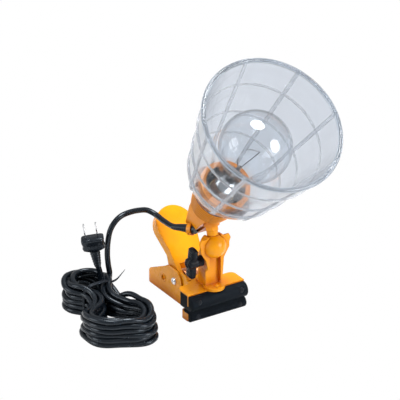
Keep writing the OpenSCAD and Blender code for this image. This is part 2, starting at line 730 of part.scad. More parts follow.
// The two insulated wires from the bush's inner end up to the terminals
bush_back = exit_at - bush_in * exit_dir;
function head_to_world(p) = [p[0], join_y + p[1] * cos(head_tilt) - p[2] * sin(head_tilt),
    join_z + p[1] * sin(head_tilt) + p[2] * cos(head_tilt)];
wire_d = 2.2;
module lead_wires() color([0.85, 0.85, 0.85]) for (x = [-1, 1])
    sweep([bush_back + [x * 1.3, 0, 0.2], head_to_world([-4 + x * 1.5, 3.5, -22]),
        head_to_world([x * 3, 6.5, -12]), head_to_world([x * 4.4, 5.4, -3]),
        head_to_world([x * 5, 5, socket_bottom - 5.4]), head_to_world([x * 8, 2.2, socket_bottom - 5.2])],
        wire_d / 2, 8, [1, 0.3, 0.2]);

// Bulb -------------------------------------------------------------------------------------------

// The glass leaves the cap, swells up the neck and meets the globe on a tangent
neck_turn = 42;
function glass_line(off) = concat(
    [[cap_r - 0.75 - off, cap_top - 2], [cap_r - 0.75 - off, cap_top + 0.05], [cap_r + 0.2 - off, cap_top + 1]],
    [for (k = [1 : 6]) let (s = k / 7, meet = [globe_r * cos(neck_turn), globe_z - globe_r * sin(neck_turn)])
        [cap_r + 0.2 + (meet[0] - cap_r - 0.2) * pow(s, 1.45) - off, cap_top + 1 + (meet[1] - cap_top - 1) * s]],
    [for (a = [-neck_turn : 6 : 84]) [(globe_r - off) * cos(a), globe_z + (globe_r - off) * sin(a)]],
    [[0, globe_z + globe_r - off]]);

module bulb_glass() color(clear_tint) at_head() rotate_extrude() {
    outside = glass_line(0);
    inside = glass_line(glass_t);
    polygon(concat(outside, [for (i = [len(inside) - 1 : -1 : 0]) inside[i]]));
}

module bulb_cap() color("silver") at_head() difference() {
    translate([0, 0, cap_bottom]) rotate_extrude() polygon(concat([[0, 0], [cap_r - 2.5, 0]],
        [for (k = [0 : 6]) each [[cap_r - 0.8, 1.5 + 3 * k], [cap_r, 3 + 3 * k]]],
        [[cap_r, cap_l - 1], [cap_r - 0.4, cap_l], [0, cap_l]]));
    translate([0, 0, cap_bottom + 1]) cylinder(r = cap_r - 1.6, h = cap_l);
    translate([0, 0, cap_bottom + cap_l - 3]) cylinder(r = cap_r - 0.7, h = 4);
    translate([0, 0, cap_bottom - 1]) cylinder(r = tip_r + 2, h = 3);
}

module bulb_insulator() color("black") at_head() difference() {
    union() {
        translate([0, 0, cap_bottom - tip_h + 1]) cylinder(r1 = tip_r + 0.8, r2 = tip_r + 5, h = tip_h - 1);
        translate([0, 0, cap_bottom - eps]) cylinder(r = tip_r + 2, h = 1);
    }
    translate([0, 0, cap_bottom - tip_h]) cylinder(r = tip_r, h = 2.4);
}

module bulb_contact() color("silver") at_head()
    translate([0, 0, cap_bottom - tip_h]) cylinder(r = tip_r, h = 2.4);

mount_l = 34;
mount_neck_r = 4.2;
mount_neck_h = 18;
mount_tip_r = 2;
mount_top = cap_top + mount_l;
module bulb_mount() color(clear_tint) at_head() {
    translate([0, 0, cap_top - 2]) cylinder(r1 = cap_r - glass_t - 0.8, r2 = mount_neck_r, h = mount_neck_h + 2);
    translate([0, 0, cap_top + mount_neck_h - eps])
        cylinder(r1 = mount_neck_r, r2 = mount_tip_r, h = mount_l - mount_neck_h);
    translate([0, 0, mount_top - eps]) sphere(r = mount_tip_r * 1.15);
}

lead_spread = 13;
lead_l = 28;
lead_d = 1;
lead_top = mount_top + lead_l;
module bulb_leads() color("dimgray") for (x = [-1, 1])
    sweep([head_to_world([x * mount_tip_r * 1.2, 0, mount_top - lead_l * 6 / 28]),
        head_to_world([x * lead_spread * 4 / 13, 0, mount_top + lead_l / 7]),
        head_to_world([x * lead_spread * 9 / 13, 0, mount_top + lead_l * 4 / 7]),
        head_to_world([x * lead_spread, 0, lead_top])], lead_d / 2, 8, [0.2, 1, 0.1]);

module bulb_filament() color("dimgray")
    sweep([for (k = [-6 : 6]) head_to_world([lead_spread * k / 6, 6 * cos(15 * k) - 0.1, lead_top - 0.3])],
        0.45, 8, [0.1, 0.2, 1]);

// Guard ------------------------------------------------------------------------------------------

guard_tilt = atan(guard_slope);
function wall_r(z) = guard_low_r + guard_slope * (z - round_h);
// the cup's outside line from the neck round the bottom edge and up the wall, set in or out by off
function guard_line(off) = let (c = [guard_low_r - guard_round_r, round_h + guard_round_r * sin(guard_tilt)],
        r = guard_round_r + off)
    [for (a = [-62 : 8 : -guard_tilt]) [c[0] + r * cos(a), c[1] + r * sin(a)]];
neck_r = cover_top_r + neck_clear;

module guard_shell(out) rotate_extrude() polygon(concat(
    [[neck_r + neck_wall + out, neck_h0], [neck_r + neck_wall + out, neck_h1 - 1]],
    guard_line(out), [[wall_r(rim_z) + out, rim_z], [wall_r(rim_z) - guard_wall, rim_z]],
    [for (i = [len(guard_line(0)) - 1 : -1 : 0]) guard_line(-guard_wall)[i]],
    [[neck_r, neck_h1], [neck_r, neck_h0]]));

module guard() color(clear_tint) at_head() difference() {
    union() {
        guard_shell(0);
        intersection() {
            guard_shell(rib_h);
            for (k = [0 : rib_count - 1]) rotate([0, 0, 360 * (k + 0.5) / rib_count + guard_turn])
                translate([0, -rib_w / 2, 0]) cube([guard_rim_r + 10, rib_w, rim_z]);
        }
        for (z = ring_z) translate([0, 0, z]) rotate_extrude() translate([wall_r(z), 0]) circle(ring_r, $fn = 24);
        translate([0, 0, rim_z]) rotate_extrude()
            translate([wall_r(rim_z) - guard_wall / 2, 0]) circle(rim_bead / 2, $fn = 24);
    }
    // the rings stay outside the cup
    inner_cone();
    guard_screw_holes();
}

module inner_cone() rotate_extrude() {
    z0 = ring_z[0] - 4;
    z1 = ring_z[2] + 4;
    polygon([[0, z0], [wall_r(z0) - guard_wall, z0], [wall_r(z1) - guard_wall, z1], [0, z1]]);
}

module guard_screw_places() for (k = [0 : 2])
    rotate([0, 0, 120 * k + 30 + guard_turn]) translate([cover_top_r, 0, (neck_h0 + neck_h1) / 2 - 1]) children();
// the holes, with a spot face under each head that also cuts back a rib beside it
module guard_screw_holes() guard_screw_places() {
    bar_x(1.2, -5, 12);
    bar_x(2.7, neck_wall + neck_clear - 0.05, 12);
}
module guard_screws() color("silver") at_head() guard_screw_places() {
    bar_x(1.2, -2.8, neck_wall + neck_clear + eps);
    bar_x(2.4, neck_wall + neck_clear, neck_wall + neck_clear + 1.6);
}

// Cord and plug ----------------------------------------------------------------------------------

module cord_lead() color(rubber_black) sweep(lead_route, cord_d / 2);
module cord_tail() color(rubber_black) sweep(tail_route, cord_d / 2);

function arc(c, r, from, to) = [for (k = [0 : 6]) let (a = from + (to - from) * k / 6)
    [c[0] + r * cos(a), c[1] + r * sin(a)]];

// A bow tie seen from above: two round lobes with a straight waist between them, all in hundredths of hank_l
hank_l = 100;
function hank(p) = p * hank_l / 100;
module hank_outline() polygon(concat(
    [[waist_x[1], hank_waist_y + hank(5)]], arc(hank([-98, 46]), hank(18), -20, 90),
    arc(hank([-112, 45]), hank(19), 90, 190),
    [[waist_x[0], hank_waist_y + hank(5)], [waist_x[0], hank_waist_y - hank(5)]],
    arc(hank([-128, -14]), hank(19), 120, 180), arc(hank([-129, -36]), hank(18), 180, 250),
    arc(hank([-93, -57]), hank(18), 255, 360), [hank([-76, -40]), hank([-80, 0])],
    [[waist_x[1], hank_waist_y - hank(5)]]));

module cord_hank() color(rubber_black) difference() {
    linear_extrude(hank_top) hank_outline();
    difference() {
        translate([waist_x[0] - hank(20), hank_waist_y - tie_w / 2, -1]) cube([hank(80), tie_w, hank_top + 2]);
        translate([waist_x[0] + tie_t, hank_waist_y - tie_w, tie_t])
            cube([waist_x[1] - waist_x[0] - 2 * tie_t, 2 * tie_w, hank_top - 2 * tie_t]);
    }
}

module cord_tie() color("black") {
    translate([waist_x[0], hank_waist_y - tie_w / 2, 0]) difference() {
        cube([waist_x[1] - waist_x[0], tie_w, hank_top]);
        translate([tie_t, -1, tie_t]) cube([waist_x[1] - waist_x[0] - 2 * tie_t, tie_w + 2, hank_top - 2 * tie_t]);
    }
    sweep([[waist_x[1] - 0.6, hank_waist_y, 30], [-78, 20, 32], [-72, 22, 35], [-66, 24, 39]], 1.2, 8);
}

module at_plug() { translate(plug_at) rotate(plug_lean) rotate([0, 0, plug_face]) children(); }

module plug_body() color(rubber_black) at_plug() {
    cylinder(r1 = cord_d / 2 + 0.8, r2 = 6, h = plug_neck_l);
    translate([-plug_w / 2, -plug_t / 2, plug_neck_l - eps]) cube([plug_w, plug_t, plug_h]);
}

module plug_blades() color("silver") at_plug() for (x = [-1, 1])
    translate([x * blade_pitch / 2 - 0.75, -3.15, plug_neck_l + plug_h - eps]) cube([1.5, 6.3, blade_l]);

lower_jaw_plate();
lower_jaw_pad();
lower_pad_rivets();
hinge_pin();
pin_clip();
torsion_spring();
upper_jaw_plate();
upper_jaw_pad();
upper_pad_rivets();
arm_post();
clamp_plate();
post_rivets();
clamp_bolt();
knob_washer();
wing_knob();
knob_insert();
swivel_ball();
ball_stem();
stem_nut();
housing_base();
socket_cover();
cover_screws();
socket_body();
screw_shell();
centre_contact();
terminals();
lead_wires();
cord_bush();
guard();
guard_screws();
bulb_glass();
bulb_cap();
bulb_insulator();
bulb_contact();
bulb_mount();
bulb_leads();
bulb_filament();
cord_lead();
cord_hank();
cord_tail();
cord_tie();
plug_body();
plug_blades();
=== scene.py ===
"""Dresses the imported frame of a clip-on work lamp with detailed, procedurally finished pieces.

Everything is in metres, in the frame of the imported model: the origin on the ground under the hinge pin, jaws
facing -Y and +Z up. What is drawn in millimetres is turned into metres with mm() or MM.
"""
import json
import logging
import math
from dataclasses import dataclass
from enum import Enum
from typing import Callable, Optional, Sequence, Union

import bmesh
import bpy
import numpy as np
from mathutils import Matrix, Vector


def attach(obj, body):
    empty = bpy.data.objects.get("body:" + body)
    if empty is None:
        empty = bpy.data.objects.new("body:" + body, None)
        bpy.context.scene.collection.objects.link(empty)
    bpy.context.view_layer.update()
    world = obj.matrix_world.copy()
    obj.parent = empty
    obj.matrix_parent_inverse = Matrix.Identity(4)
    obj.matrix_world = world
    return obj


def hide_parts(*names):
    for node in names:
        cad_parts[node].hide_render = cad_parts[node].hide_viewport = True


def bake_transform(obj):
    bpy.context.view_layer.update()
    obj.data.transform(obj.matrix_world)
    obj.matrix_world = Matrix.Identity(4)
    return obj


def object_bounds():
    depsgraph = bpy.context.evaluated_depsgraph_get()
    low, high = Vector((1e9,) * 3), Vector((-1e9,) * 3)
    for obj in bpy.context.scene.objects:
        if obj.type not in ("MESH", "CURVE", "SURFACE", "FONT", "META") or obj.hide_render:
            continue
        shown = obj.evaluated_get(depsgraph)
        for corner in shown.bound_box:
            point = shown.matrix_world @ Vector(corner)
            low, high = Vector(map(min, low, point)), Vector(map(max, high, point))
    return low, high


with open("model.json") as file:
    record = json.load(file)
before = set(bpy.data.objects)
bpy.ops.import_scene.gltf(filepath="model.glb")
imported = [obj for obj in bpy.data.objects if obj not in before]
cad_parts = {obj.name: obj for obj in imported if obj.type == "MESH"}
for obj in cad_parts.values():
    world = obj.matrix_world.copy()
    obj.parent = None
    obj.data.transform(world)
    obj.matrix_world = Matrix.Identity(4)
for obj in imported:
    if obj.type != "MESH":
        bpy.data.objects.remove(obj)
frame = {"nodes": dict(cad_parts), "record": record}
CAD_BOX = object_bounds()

logging.basicConfig(level=logging.INFO, format="%(message)s")
log = logging.getLogger("lamp")

Point = Sequence[float]
Profile = Sequence[tuple[float, float]]
Colour = tuple[float, float, float, float]
Socket = bpy.types.NodeSocket
Value = Union[float, Point, Socket]


class Body(str, Enum):
    """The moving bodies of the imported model."""

    LOWER = "lower"
    UPPER = "upper"
    KNOB = "knob"
    BALL = "ball"
    HEAD = "head"


class Slot(str, Enum):
    """The record's material slots that new pieces take their finish from."""

    PAINT = "paint"
    JAW_RUBBER = "jaw_rubber"
    RIVET = "rivet_black"
    BRIGHT = "bright_steel"
    SPRING = "spring_steel"
    KNOB = "knob_plastic"
    BRASS = "brass"
    CORD = "cord_rubber"
    GUARD = "guard_clear"
    GLASS = "bulb_glass"
    CAP = "cap_metal"
    FINE_WIRE = "fine_wire"
    TIE = "tie_plastic"
    BAKELITE = "bakelite"
    INSULATION = "wire_insulation"
    BLACK_GLASS = "black_glass"


MM = 0.001


def mm(*values: float) -> tuple[float, ...]:
    """Millimetres to metres."""
    return tuple(v * MM for v in values)


# Finishes ---------------------------------------------------------------------------------------


class Graph:
    """A small helper over the node tree of one material or world."""

    def __init__(self, owner: bpy.types.ID, output: str = "OutputMaterial") -> None:
        """Clears the owner's tree and gives it an output.

        Args:
            owner: the material or the world.
            output: the type of its output node.
        """
        owner.use_nodes = True
        self.owner, self.tree = owner, owner.node_tree
        self.tree.nodes.clear()
        self.out = self.add(output)
        self.texture = self.add("TexCoord")
        self.coords = self.texture.outputs["Object"]

    def add(self, kind: str, sockets: Optional[dict] = None, **settings) -> bpy.types.Node:
        """Adds a node.

        Args:
            kind: the node's type without its ShaderNode prefix.
            sockets: input name or index to a constant or an output socket.
            **settings: attributes of the node itself.

        Returns:
            The new node.
        """
        node = self.tree.nodes.new("ShaderNode" + kind)
        for key, value in settings.items():
            setattr(node, key, value)
        for key, value in (sockets or {}).items():
            self.put(node.inputs[key], value)
        return node

    def put(self, socket: Socket, value: Value) -> None:
        """Links an output to a socket, or sets the socket's constant."""
        if isinstance(value, Socket):
            self.tree.links.new(value, socket)
        else:
            socket.default_value = value

    def math(self, op: str, a: Value, b: Value = 0.0, clamp: bool = False) -> Socket:
        """One arithmetic step on two values."""
        return self.add("Math", {0: a, 1: b}, operation=op, use_clamp=clamp).outputs[0]

    def times(self, a: Value, b: Value, clamp: bool = False) -> Socket:
        """The product of two values."""
        return self.math("MULTIPLY", a, b, clamp)

    def noise(self, scale: float, detail: float = 3.0, roughness: float = 0.55,
              stretch: Optional[Point] = None) -> Socket:
        """Fractal noise in object space, stretched along an axis where asked."""
        vector = self.coords
        if stretch:
            vector = self.add("Mapping", {"Vector": vector, "Scale": stretch}).outputs[0]
        return self.add("TexNoise", {"Vector": vector, "Scale": scale, "Detail": detail,
                                     "Roughness": roughness}).outputs["Fac"]

    def span(self, value: Value, low: float, high: float, to_low: float = 0.0,
             to_high: float = 1.0) -> Socket:
        """Maps a value from one range to another, clamped."""
        return self.add("MapRange", {"Value": value, "From Min": low, "From Max": high, "To Min": to_low,
                                     "To Max": to_high}).outputs[0]

    def patches(self, scale: float, detail: float, *limits: float) -> Socket:
        """Noise cut to a range, with the limits that span takes."""
        return self.span(self.noise(scale, detail), *limits)

    def mix(self, factor: Value, a: Value, b: Value) -> Socket:
        """Mixes two colours."""
        node = self.add("Mix", data_type="RGBA")
        for index, value in ((0, factor), (6, a), (7, b)):
            self.put(node.inputs[index], value)
        return node.outputs[2]

    def bump(self, height: Value, strength: float, distance: float,
             normal: Optional[Socket] = None) -> Socket:
        """A small bump, its distance in metres."""
        sockets = {"Height": height, "Strength": strength, "Distance": distance}
        if normal is not None:
            sockets["Normal"] = normal
        return self.add("Bump", sockets).outputs[0]

    def edges(self, radius: float) -> tuple[Socket, Socket]:
        """Softened edges.

        Args:
            radius: how far from an edge the softening reaches, in metres.

        Returns:
            The softened normal, and a mask that is 1 along sharp edges.
        """
        soft = self.add("Bevel", {"Radius": radius}, samples=4).outputs[0]
        true = self.add("NewGeometry").outputs["Normal"]
        same = self.add("VectorMath", {0: soft, 1: true}, operation="DOT_PRODUCT").outputs["Value"]
        return soft, self.span(same, 0.985, 0.86)

    def surface(self, **sockets: Value) -> bpy.types.Material:
        """Ends in a Principled surface."""
        return self.end(self.shader("BsdfPrincipled", **sockets))

    def shader(self, kind: str, **sockets: Value) -> Socket:
        """A shader's output; underscores in socket names stand for spaces."""
        return self.add(kind, {k.replace("_", " "): v for k, v in sockets.items()}).outputs[0]

    def layer(self, factor: Value, under: Socket, over: Socket) -> Socket:
        """One shader over another."""
        return self.add("MixShader", {0: factor, 1: under, 2: over}).outputs[0]

    def end(self, shader: Socket) -> bpy.types.ID:
        """Links the last shader to the output."""
        self.put(self.out.inputs[0], shader)
        return self.owner


def rgb(r: float, g: float, b: float) -> Colour:
    """A linear colour with full cover."""
    return (r, g, b, 1.0)


def tinted(colour: Colour, times: float, plus: float = 0.0) -> Colour:
    """A lighter or darker version of a colour."""
    return rgb(*(min(1.0, c * times + plus) for c in colour[:3]))


@dataclass(frozen=True)
class Enamel:
    """Glossy enamel on pressed steel: faint orange peel, painted shade that deepens the orange in hollows,
    rubbed along edges.
    """

    name: str
    base: Colour
    deep_tone_and_shade: Colour
    gloss: float = 0.28
    wear: float = 0.35
    reach: float = 0.016
    ridges: Optional[tuple[Point, Point, float]] = None

    def build(self) -> bpy.types.Material:
        """Makes the material."""
        g = Graph(bpy.data.materials.new(self.name))
        normal, edge = g.edges(0.0007)
        drift = g.patches(28, 4, 0.35, 0.7)
        # painted shade: ambient occlusion pulls the paint toward the deep colour in hollows, creases and under
        # parts
        hollow = g.add("AmbientOcclusion", {"Distance": self.reach}, samples=6).outputs["AO"]
        shade = g.span(hollow, 0.3, 0.92, 1.0, 0.0)
        body = g.mix(g.times(drift, 0.3), self.base, self.deep_tone_and_shade)
        body = g.mix(shade, body, self.deep_tone_and_shade)
        # painted shade: dark bands in the grooves between ridges, where asked
        if self.ridges:
            origin, axis, pitch = self.ridges
            off = g.add("VectorMath", {0: g.coords, 1: origin}, operation="SUBTRACT").outputs[0]
            along = g.add("VectorMath", {0: off, 1: axis}, operation="DOT_PRODUCT").outputs["Value"]
            crest = g.math("ABSOLUTE", g.math("SINE", g.times(along, math.pi / pitch)))
            body = g.mix(g.span(crest, 0.3, 0.85, 0.95, 0.0), body, tinted(self.deep_tone_and_shade, 0.35))
        worn = g.times(edge, g.patches(260, 5, 0.45, 0.62), clamp=True)
        body = g.mix(g.times(worn, self.wear), body, tinted(self.base, 1.12, 0.03))
        speck = g.patches(900, 2, 0.69, 0.74, 0.0, 0.5)
        body = g.mix(speck, body, self.deep_tone_and_shade)
        rough = g.patches(60, 4, 0.3, 0.75, self.gloss - 0.05, self.gloss + 0.1)
        peel = g.bump(g.noise(420, 2), 0.12, 0.0002, normal)
        return g.surface(Base_Color=body, Roughness=rough, Normal=peel, Coat_Weight=0.35, Coat_Roughness=0.08,
                         Specular_IOR_Level=0.12)


@dataclass(frozen=True)
class Rubber:
    """Moulded rubber or soft vinyl with a fine grain, paler where its edges are rubbed."""

    name: str
    base: Colour
    rough: float = 0.5
    grain: float = 700.0
    edge: float = 0.0005
    shine: float = 0.2

    def build(self) -> bpy.types.Material:
        """Makes the material."""
        g = Graph(bpy.data.materials.new(self.name))
        normal, edge = g.edges(self.edge)
        patch = g.patches(45, 4, 0.35, 0.7)
        colour = g.mix(g.times(patch, 0.5), self.base, tinted(self.base, 1.6, 0.002))
        rubbed = g.times(edge, g.patches(180, 4, 0.4, 0.65), clamp=True)
        colour = g.mix(g.times(rubbed, 0.5), colour, rgb(0.04, 0.046, 0.055))
        rough = g.patches(90, 3, 0.3, 0.75, self.rough - 0.08, self.rough + 0.12)
        fine = g.bump(g.noise(self.grain, 2), 0.25, 0.00015, normal)
        return g.surface(Base_Color=colour, Roughness=rough, Normal=fine, Specular_IOR_Level=self.shine,
                         Specular_Tint=rgb(0.8, 0.9, 1.0))


@dataclass(frozen=True)
class Metal:
    """Bare or plated metal with fine directional scratches and a dull patina."""

    name: str
    base: Colour
    stain: Colour
    rough: float = 0.22
    stretch: tuple[float, float, float] = (1.0, 14.0, 14.0)

    def build(self) -> bpy.types.Material:
        """Makes the material."""
        g = Graph(bpy.data.materials.new(self.name))
        normal, edge = g.edges(0.0003)
        patina = g.patches(120, 5, 0.42, 0.72)
        colour = g.mix(g.times(patina, 0.55), self.base, self.stain)
        colour = g.mix(g.times(edge, 0.4), colour, rgb(0.92, 0.92, 0.92))
        hair = g.noise(260, 3, 0.6, self.stretch)
        rough = g.math("ADD", g.span(patina, 0.0, 1.0, self.rough - 0.05, self.rough + 0.16),
                       g.times(hair, 0.06))
        return g.surface(Base_Color=colour, Metallic=1.0, Roughness=rough,
                         Normal=g.bump(hair, 0.08, 0.0001, normal))


@dataclass(frozen=True)
class Moulding:
    """Hard moulded plastic with a soft shine and faint flow marks."""

    name: str
    base: Colour
    rough: float = 0.3
    marks: float = 0.4

    def build(self) -> bpy.types.Material:
        """Makes the material."""
        g = Graph(bpy.data.materials.new(self.name))
        normal, edge = g.edges(0.0006)
        flow = g.span(g.noise(35, 3, 0.5, (1.0, 1.0, 5.0)), 0.35, 0.7)
        colour = g.mix(g.times(flow, self.marks), self.base, tinted(self.base, 1.4, 0.003))
        scuff = g.times(edge, g.patches(300, 4, 0.45, 0.6), clamp=True)
        colour = g.mix(g.times(scuff, 0.45), colour, rgb(0.08, 0.09, 0.105))
        rough = g.patches(110, 4, 0.3, 0.7, self.rough - 0.06, self.rough + 0.12)
        flat = g.bump(g.noise(500, 2), 0.08, 0.0002, normal)
        return g.surface(Base_Color=colour, Roughness=rough, Normal=flat, Specular_IOR_Level=0.14)


@dataclass(frozen=True)
class Clear:
    """Clear glass or moulded plastic: a faint tint, flow ripple, milky haze, and painted dark reflections,
    slate-coloured, at grazing edges.
    """

    name: str
    tint: Colour
    ior: float = 1.47
    rough: float = 0.02
    ripple: float = 0.1
    haze: float = 0.0
    edge: float = 0.0
    milk: Colour = (0.8, 0.84, 0.9, 1.0)

    def build(self) -> bpy.types.Material:
        """Makes the material."""
        g = Graph(bpy.data.materials.new(self.name))
        wave = g.noise(22, 3, 0.5)
        clouded_and_dark_edges = g.mix(g.patches(9, 3, 0.3, 0.75), self.tint, tinted(self.tint, 0.97))
        # painted reflection: slate blended in where the surface turns away from view, for dark outlines at
        # grazing edges
        if self.edge:
            facing = g.add("LayerWeight", {"Blend": 0.5}).outputs["Facing"]
            clouded_and_dark_edges = g.mix(g.span(facing, 0.55, 0.97, 0.0, self.edge), clouded_and_dark_edges, rgb(0.08, 0.1, 0.13))
        rough = g.patches(70, 3, 0.35, 0.75, self.rough, self.rough + 0.04)
        normal = g.bump(wave, self.ripple, 0.0006)
        clear = g.shader("BsdfTransparent", Color=self.tint)
        shadow = g.add("LightPath").outputs["Is Shadow Ray"]
        glass = g.shader("BsdfPrincipled", Base_Color=clouded_and_dark_edges, Roughness=rough, Transmission_Weight=1.0,
                         IOR=self.ior, Normal=normal)
        if self.haze:
            front = g.shader("BsdfDiffuse", Color=self.milk, Normal=normal)
            back = g.shader("BsdfTranslucent", Color=self.milk, Normal=normal)
            milk = g.layer(0.3, front, back)
            streaks = g.span(g.noise(30, 5, 0.6), 0.35, 0.7, 0.5, 1.5)
            glass = g.layer(g.times(streaks, self.haze, clamp=True), glass, milk)
        # lamps light what is inside, as if the glass cast no shadow but its tint
        return g.end(g.layer(shadow, glass, clear))


class Finishes:
    """Every finish of the lamp, made once and handed out by slot."""

    def __init__(self) -> None:
        """Makes all the materials."""
        orange, deep_tone_and_shade = rgb(0.9, 0.36, 0.003), rgb(0.56, 0.105, 0.003)
        black, milk = rgb(0.008, 0.01, 0.014), rgb(0.6, 0.64, 0.7)
        kinds = {
            Slot.PAINT: Enamel("enamel", orange, deep_tone_and_shade),
            Slot.JAW_RUBBER: Rubber("jaw_rubber", rgb(0.004, 0.006, 0.009), 0.55, 620, shine=0.09),
            Slot.RIVET: Moulding("rivet_black", black, 0.3),
            Slot.BRIGHT: Metal("bright_steel", rgb(0.9, 0.91, 0.93), rgb(0.6, 0.6, 0.62), 0.22),
            Slot.SPRING: Metal("spring_copper", rgb(0.75, 0.36, 0.16), rgb(0.4, 0.17, 0.08), 0.34, (1, 1, 1)),
            Slot.KNOB: Moulding("knob_black", black, 0.24),
            Slot.BRASS: Metal("brass", rgb(0.8, 0.6, 0.26), rgb(0.45, 0.3, 0.1), 0.25),
            Slot.CORD: Rubber("cord_vinyl", rgb(0.003, 0.005, 0.008), 0.22, 520, 0.0003, 0.42),
            # the guard and the bulb glass get painted dark reflections at their grazing edges
            Slot.GUARD: Clear("guard_clear", rgb(0.965, 0.975, 0.98), 1.4, 0.02, 0.16, 0.04, 0.8, milk),
            Slot.GLASS: Clear("bulb_glass", rgb(0.93, 0.95, 0.97), 1.5, 0.0, 0.04, 0.0, 0.75),
            Slot.CAP: Moulding("cap_bronze", rgb(0.16, 0.08, 0.04), 0.3, 0.6),
            Slot.FINE_WIRE: Metal("fine_wire", rgb(0.1, 0.1, 0.11), rgb(0.04, 0.04, 0.04), 0.5),
            Slot.TIE: Rubber("tie_black", rgb(0.006, 0.008, 0.012), 0.36, 600, 0.0003),
            Slot.BAKELITE: Moulding("socket_black", rgb(0.004, 0.005, 0.006), 0.22),
            Slot.INSULATION: Moulding("insulation", rgb(0.62, 0.62, 0.6), 0.4, 0.25),
            Slot.BLACK_GLASS: Moulding("black_glass", rgb(0.01, 0.01, 0.012), 0.12, 0.2),
        }
        self.materials = {slot: kind.build() for slot, kind in kinds.items()}

    def __getitem__(self, slot: Slot) -> bpy.types.Material:
        """The material of a slot."""
        return self.materials[slot]

    def paint_nodes(self) -> None:
        """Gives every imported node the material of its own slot."""
        slots = {s["node"]: Slot(s["material_slot"]) for s in frame["record"]["subparts"]}
        for name, node in frame["nodes"].items():
            node.data.materials.clear()
            node.data.materials.append(self.materials[slots[name]])


# Mesh helpers -----------------------------------------------------------------------------------


def unit(vectors: np.ndarray) -> np.ndarray:
    """Vectors scaled to a length of one."""
    vectors = np.asarray(vectors, float)
    return vectors / np.maximum(np.linalg.norm(vectors, axis=-1, keepdims=True), 1e-12)


def distances(points: np.ndarray) -> np.ndarray:
    """How far along a line each of its points is."""
    return np.concatenate([[0.0], np.cumsum(np.linalg.norm(np.diff(points, axis=0), axis=1))])


def resampled(points: np.ndarray, step: float) -> np.ndarray:
    """The same line with points an even step apart."""
    points = np.asarray(points, float)
    run = distances(points)
    count = max(3, int(round(run[-1] / step)) + 1)
    at = np.linspace(0.0, run[-1], count)
    return np.stack([np.interp(at, run, points[:, k]) for k in range(3)], axis=1)


def rounded(points: Sequence[Point], per: int = 8) -> np.ndarray:
    """A smooth curve through the points, with that many steps between two of them."""
    p = np.asarray(points, float)
    q = np.vstack([2 * p[0] - p[1], p, 2 * p[-1] - p[-2]])
    s = (np.arange(per) / per)[:, None]
    out = [0.5 * (2 * b + (c - a) * s + (2 * a - 5 * b + 4 * c - d) * s ** 2
                  + (3 * b - a - 3 * c + d) * s ** 3)
           for a, b, c, d in zip(q[:-3], q[1:-2], q[2:-1], q[3:])]
    return np.vstack(out + [p[-1:]])


def line_length(points: np.ndarray) -> float:
    """The length of a line of points."""
    return float(distances(points)[-1])


def arc(x: float, y: float, r: float, start: float, end: float, count: int = 9) -> list:
    """Points of an arc in a plane, its angles in degrees."""
    return [(x + r * math.cos(a), y + r * math.sin(a)) for a in np.radians(np.linspace(start, end, count))]


def round_turn(count: int) -> np.ndarray:
    """Even steps of angle round a full turn, in radians."""
    return np.linspace(0, 2 * math.pi, count, endpoint=False)


def circle(x: float, y: float, r: float, count: int) -> list:
    """Points round a circle in a plane."""
    return [(x + r * math.cos(a), y + r * math.sin(a)) for a in round_turn(count)]


def squared(half_x: float, half_y: float, power: float, count: int) -> list:
    """Points round a rounded rectangle, rounder for a lower power."""
    points = []
    for a in round_turn(count):
        c, s = math.cos(a), math.sin(a)
        r = (abs(c) ** power + abs(s) ** power) ** (-1 / power)
        points.append((half_x * r * c, half_y * r * s))
    return points


def stand_at(x: float, y: float, z: float, *turns: tuple[float, str],
             base: Matrix = Matrix.Identity(4)) -> Matrix:
    """A frame at a point in millimetres.

    Args:
        x, y, z: the point.
        *turns: an angle in degrees and an axis for each turn, about the frame's own axes in this order.
        base: the frame that the point is given in.

    Returns:
        The matrix from the new frame to the row frame.
    """
    place = base @ Matrix.Translation(mm(x, y, z))
    for degrees, axis in turns:
        place = place @ Matrix.Rotation(math.radians(degrees), 4, axis)
    return place


def tube_rings(path: np.ndarray, radii: Union[float, np.ndarray], sides: int) -> np.ndarray:
    """Rings of a tube along a path, turned as little as possible from one to the next.

    Args:
        path: the centreline's points.
        radii: one radius, or one for each point.
        sides: vertices in each ring.

    Returns:
        An array of points x sides x 3.
    """
    path = np.asarray(path, float)
    radii = np.broadcast_to(np.asarray(radii, float), (len(path),))
    along = unit(np.gradient(path, axis=0))
    side = np.cross(along[0], (0.31, 0.17, 0.93))  # any way that no path here starts along
    angle = round_turn(sides)[:, None]
    rings = np.empty((len(path), sides, 3))
    for i, t in enumerate(along):
        side = unit(side - t * side.dot(t))
        rings[i] = path[i] + radii[i] * (np.cos(angle) * side + np.sin(angle) * np.cross(t, side))
    return rings


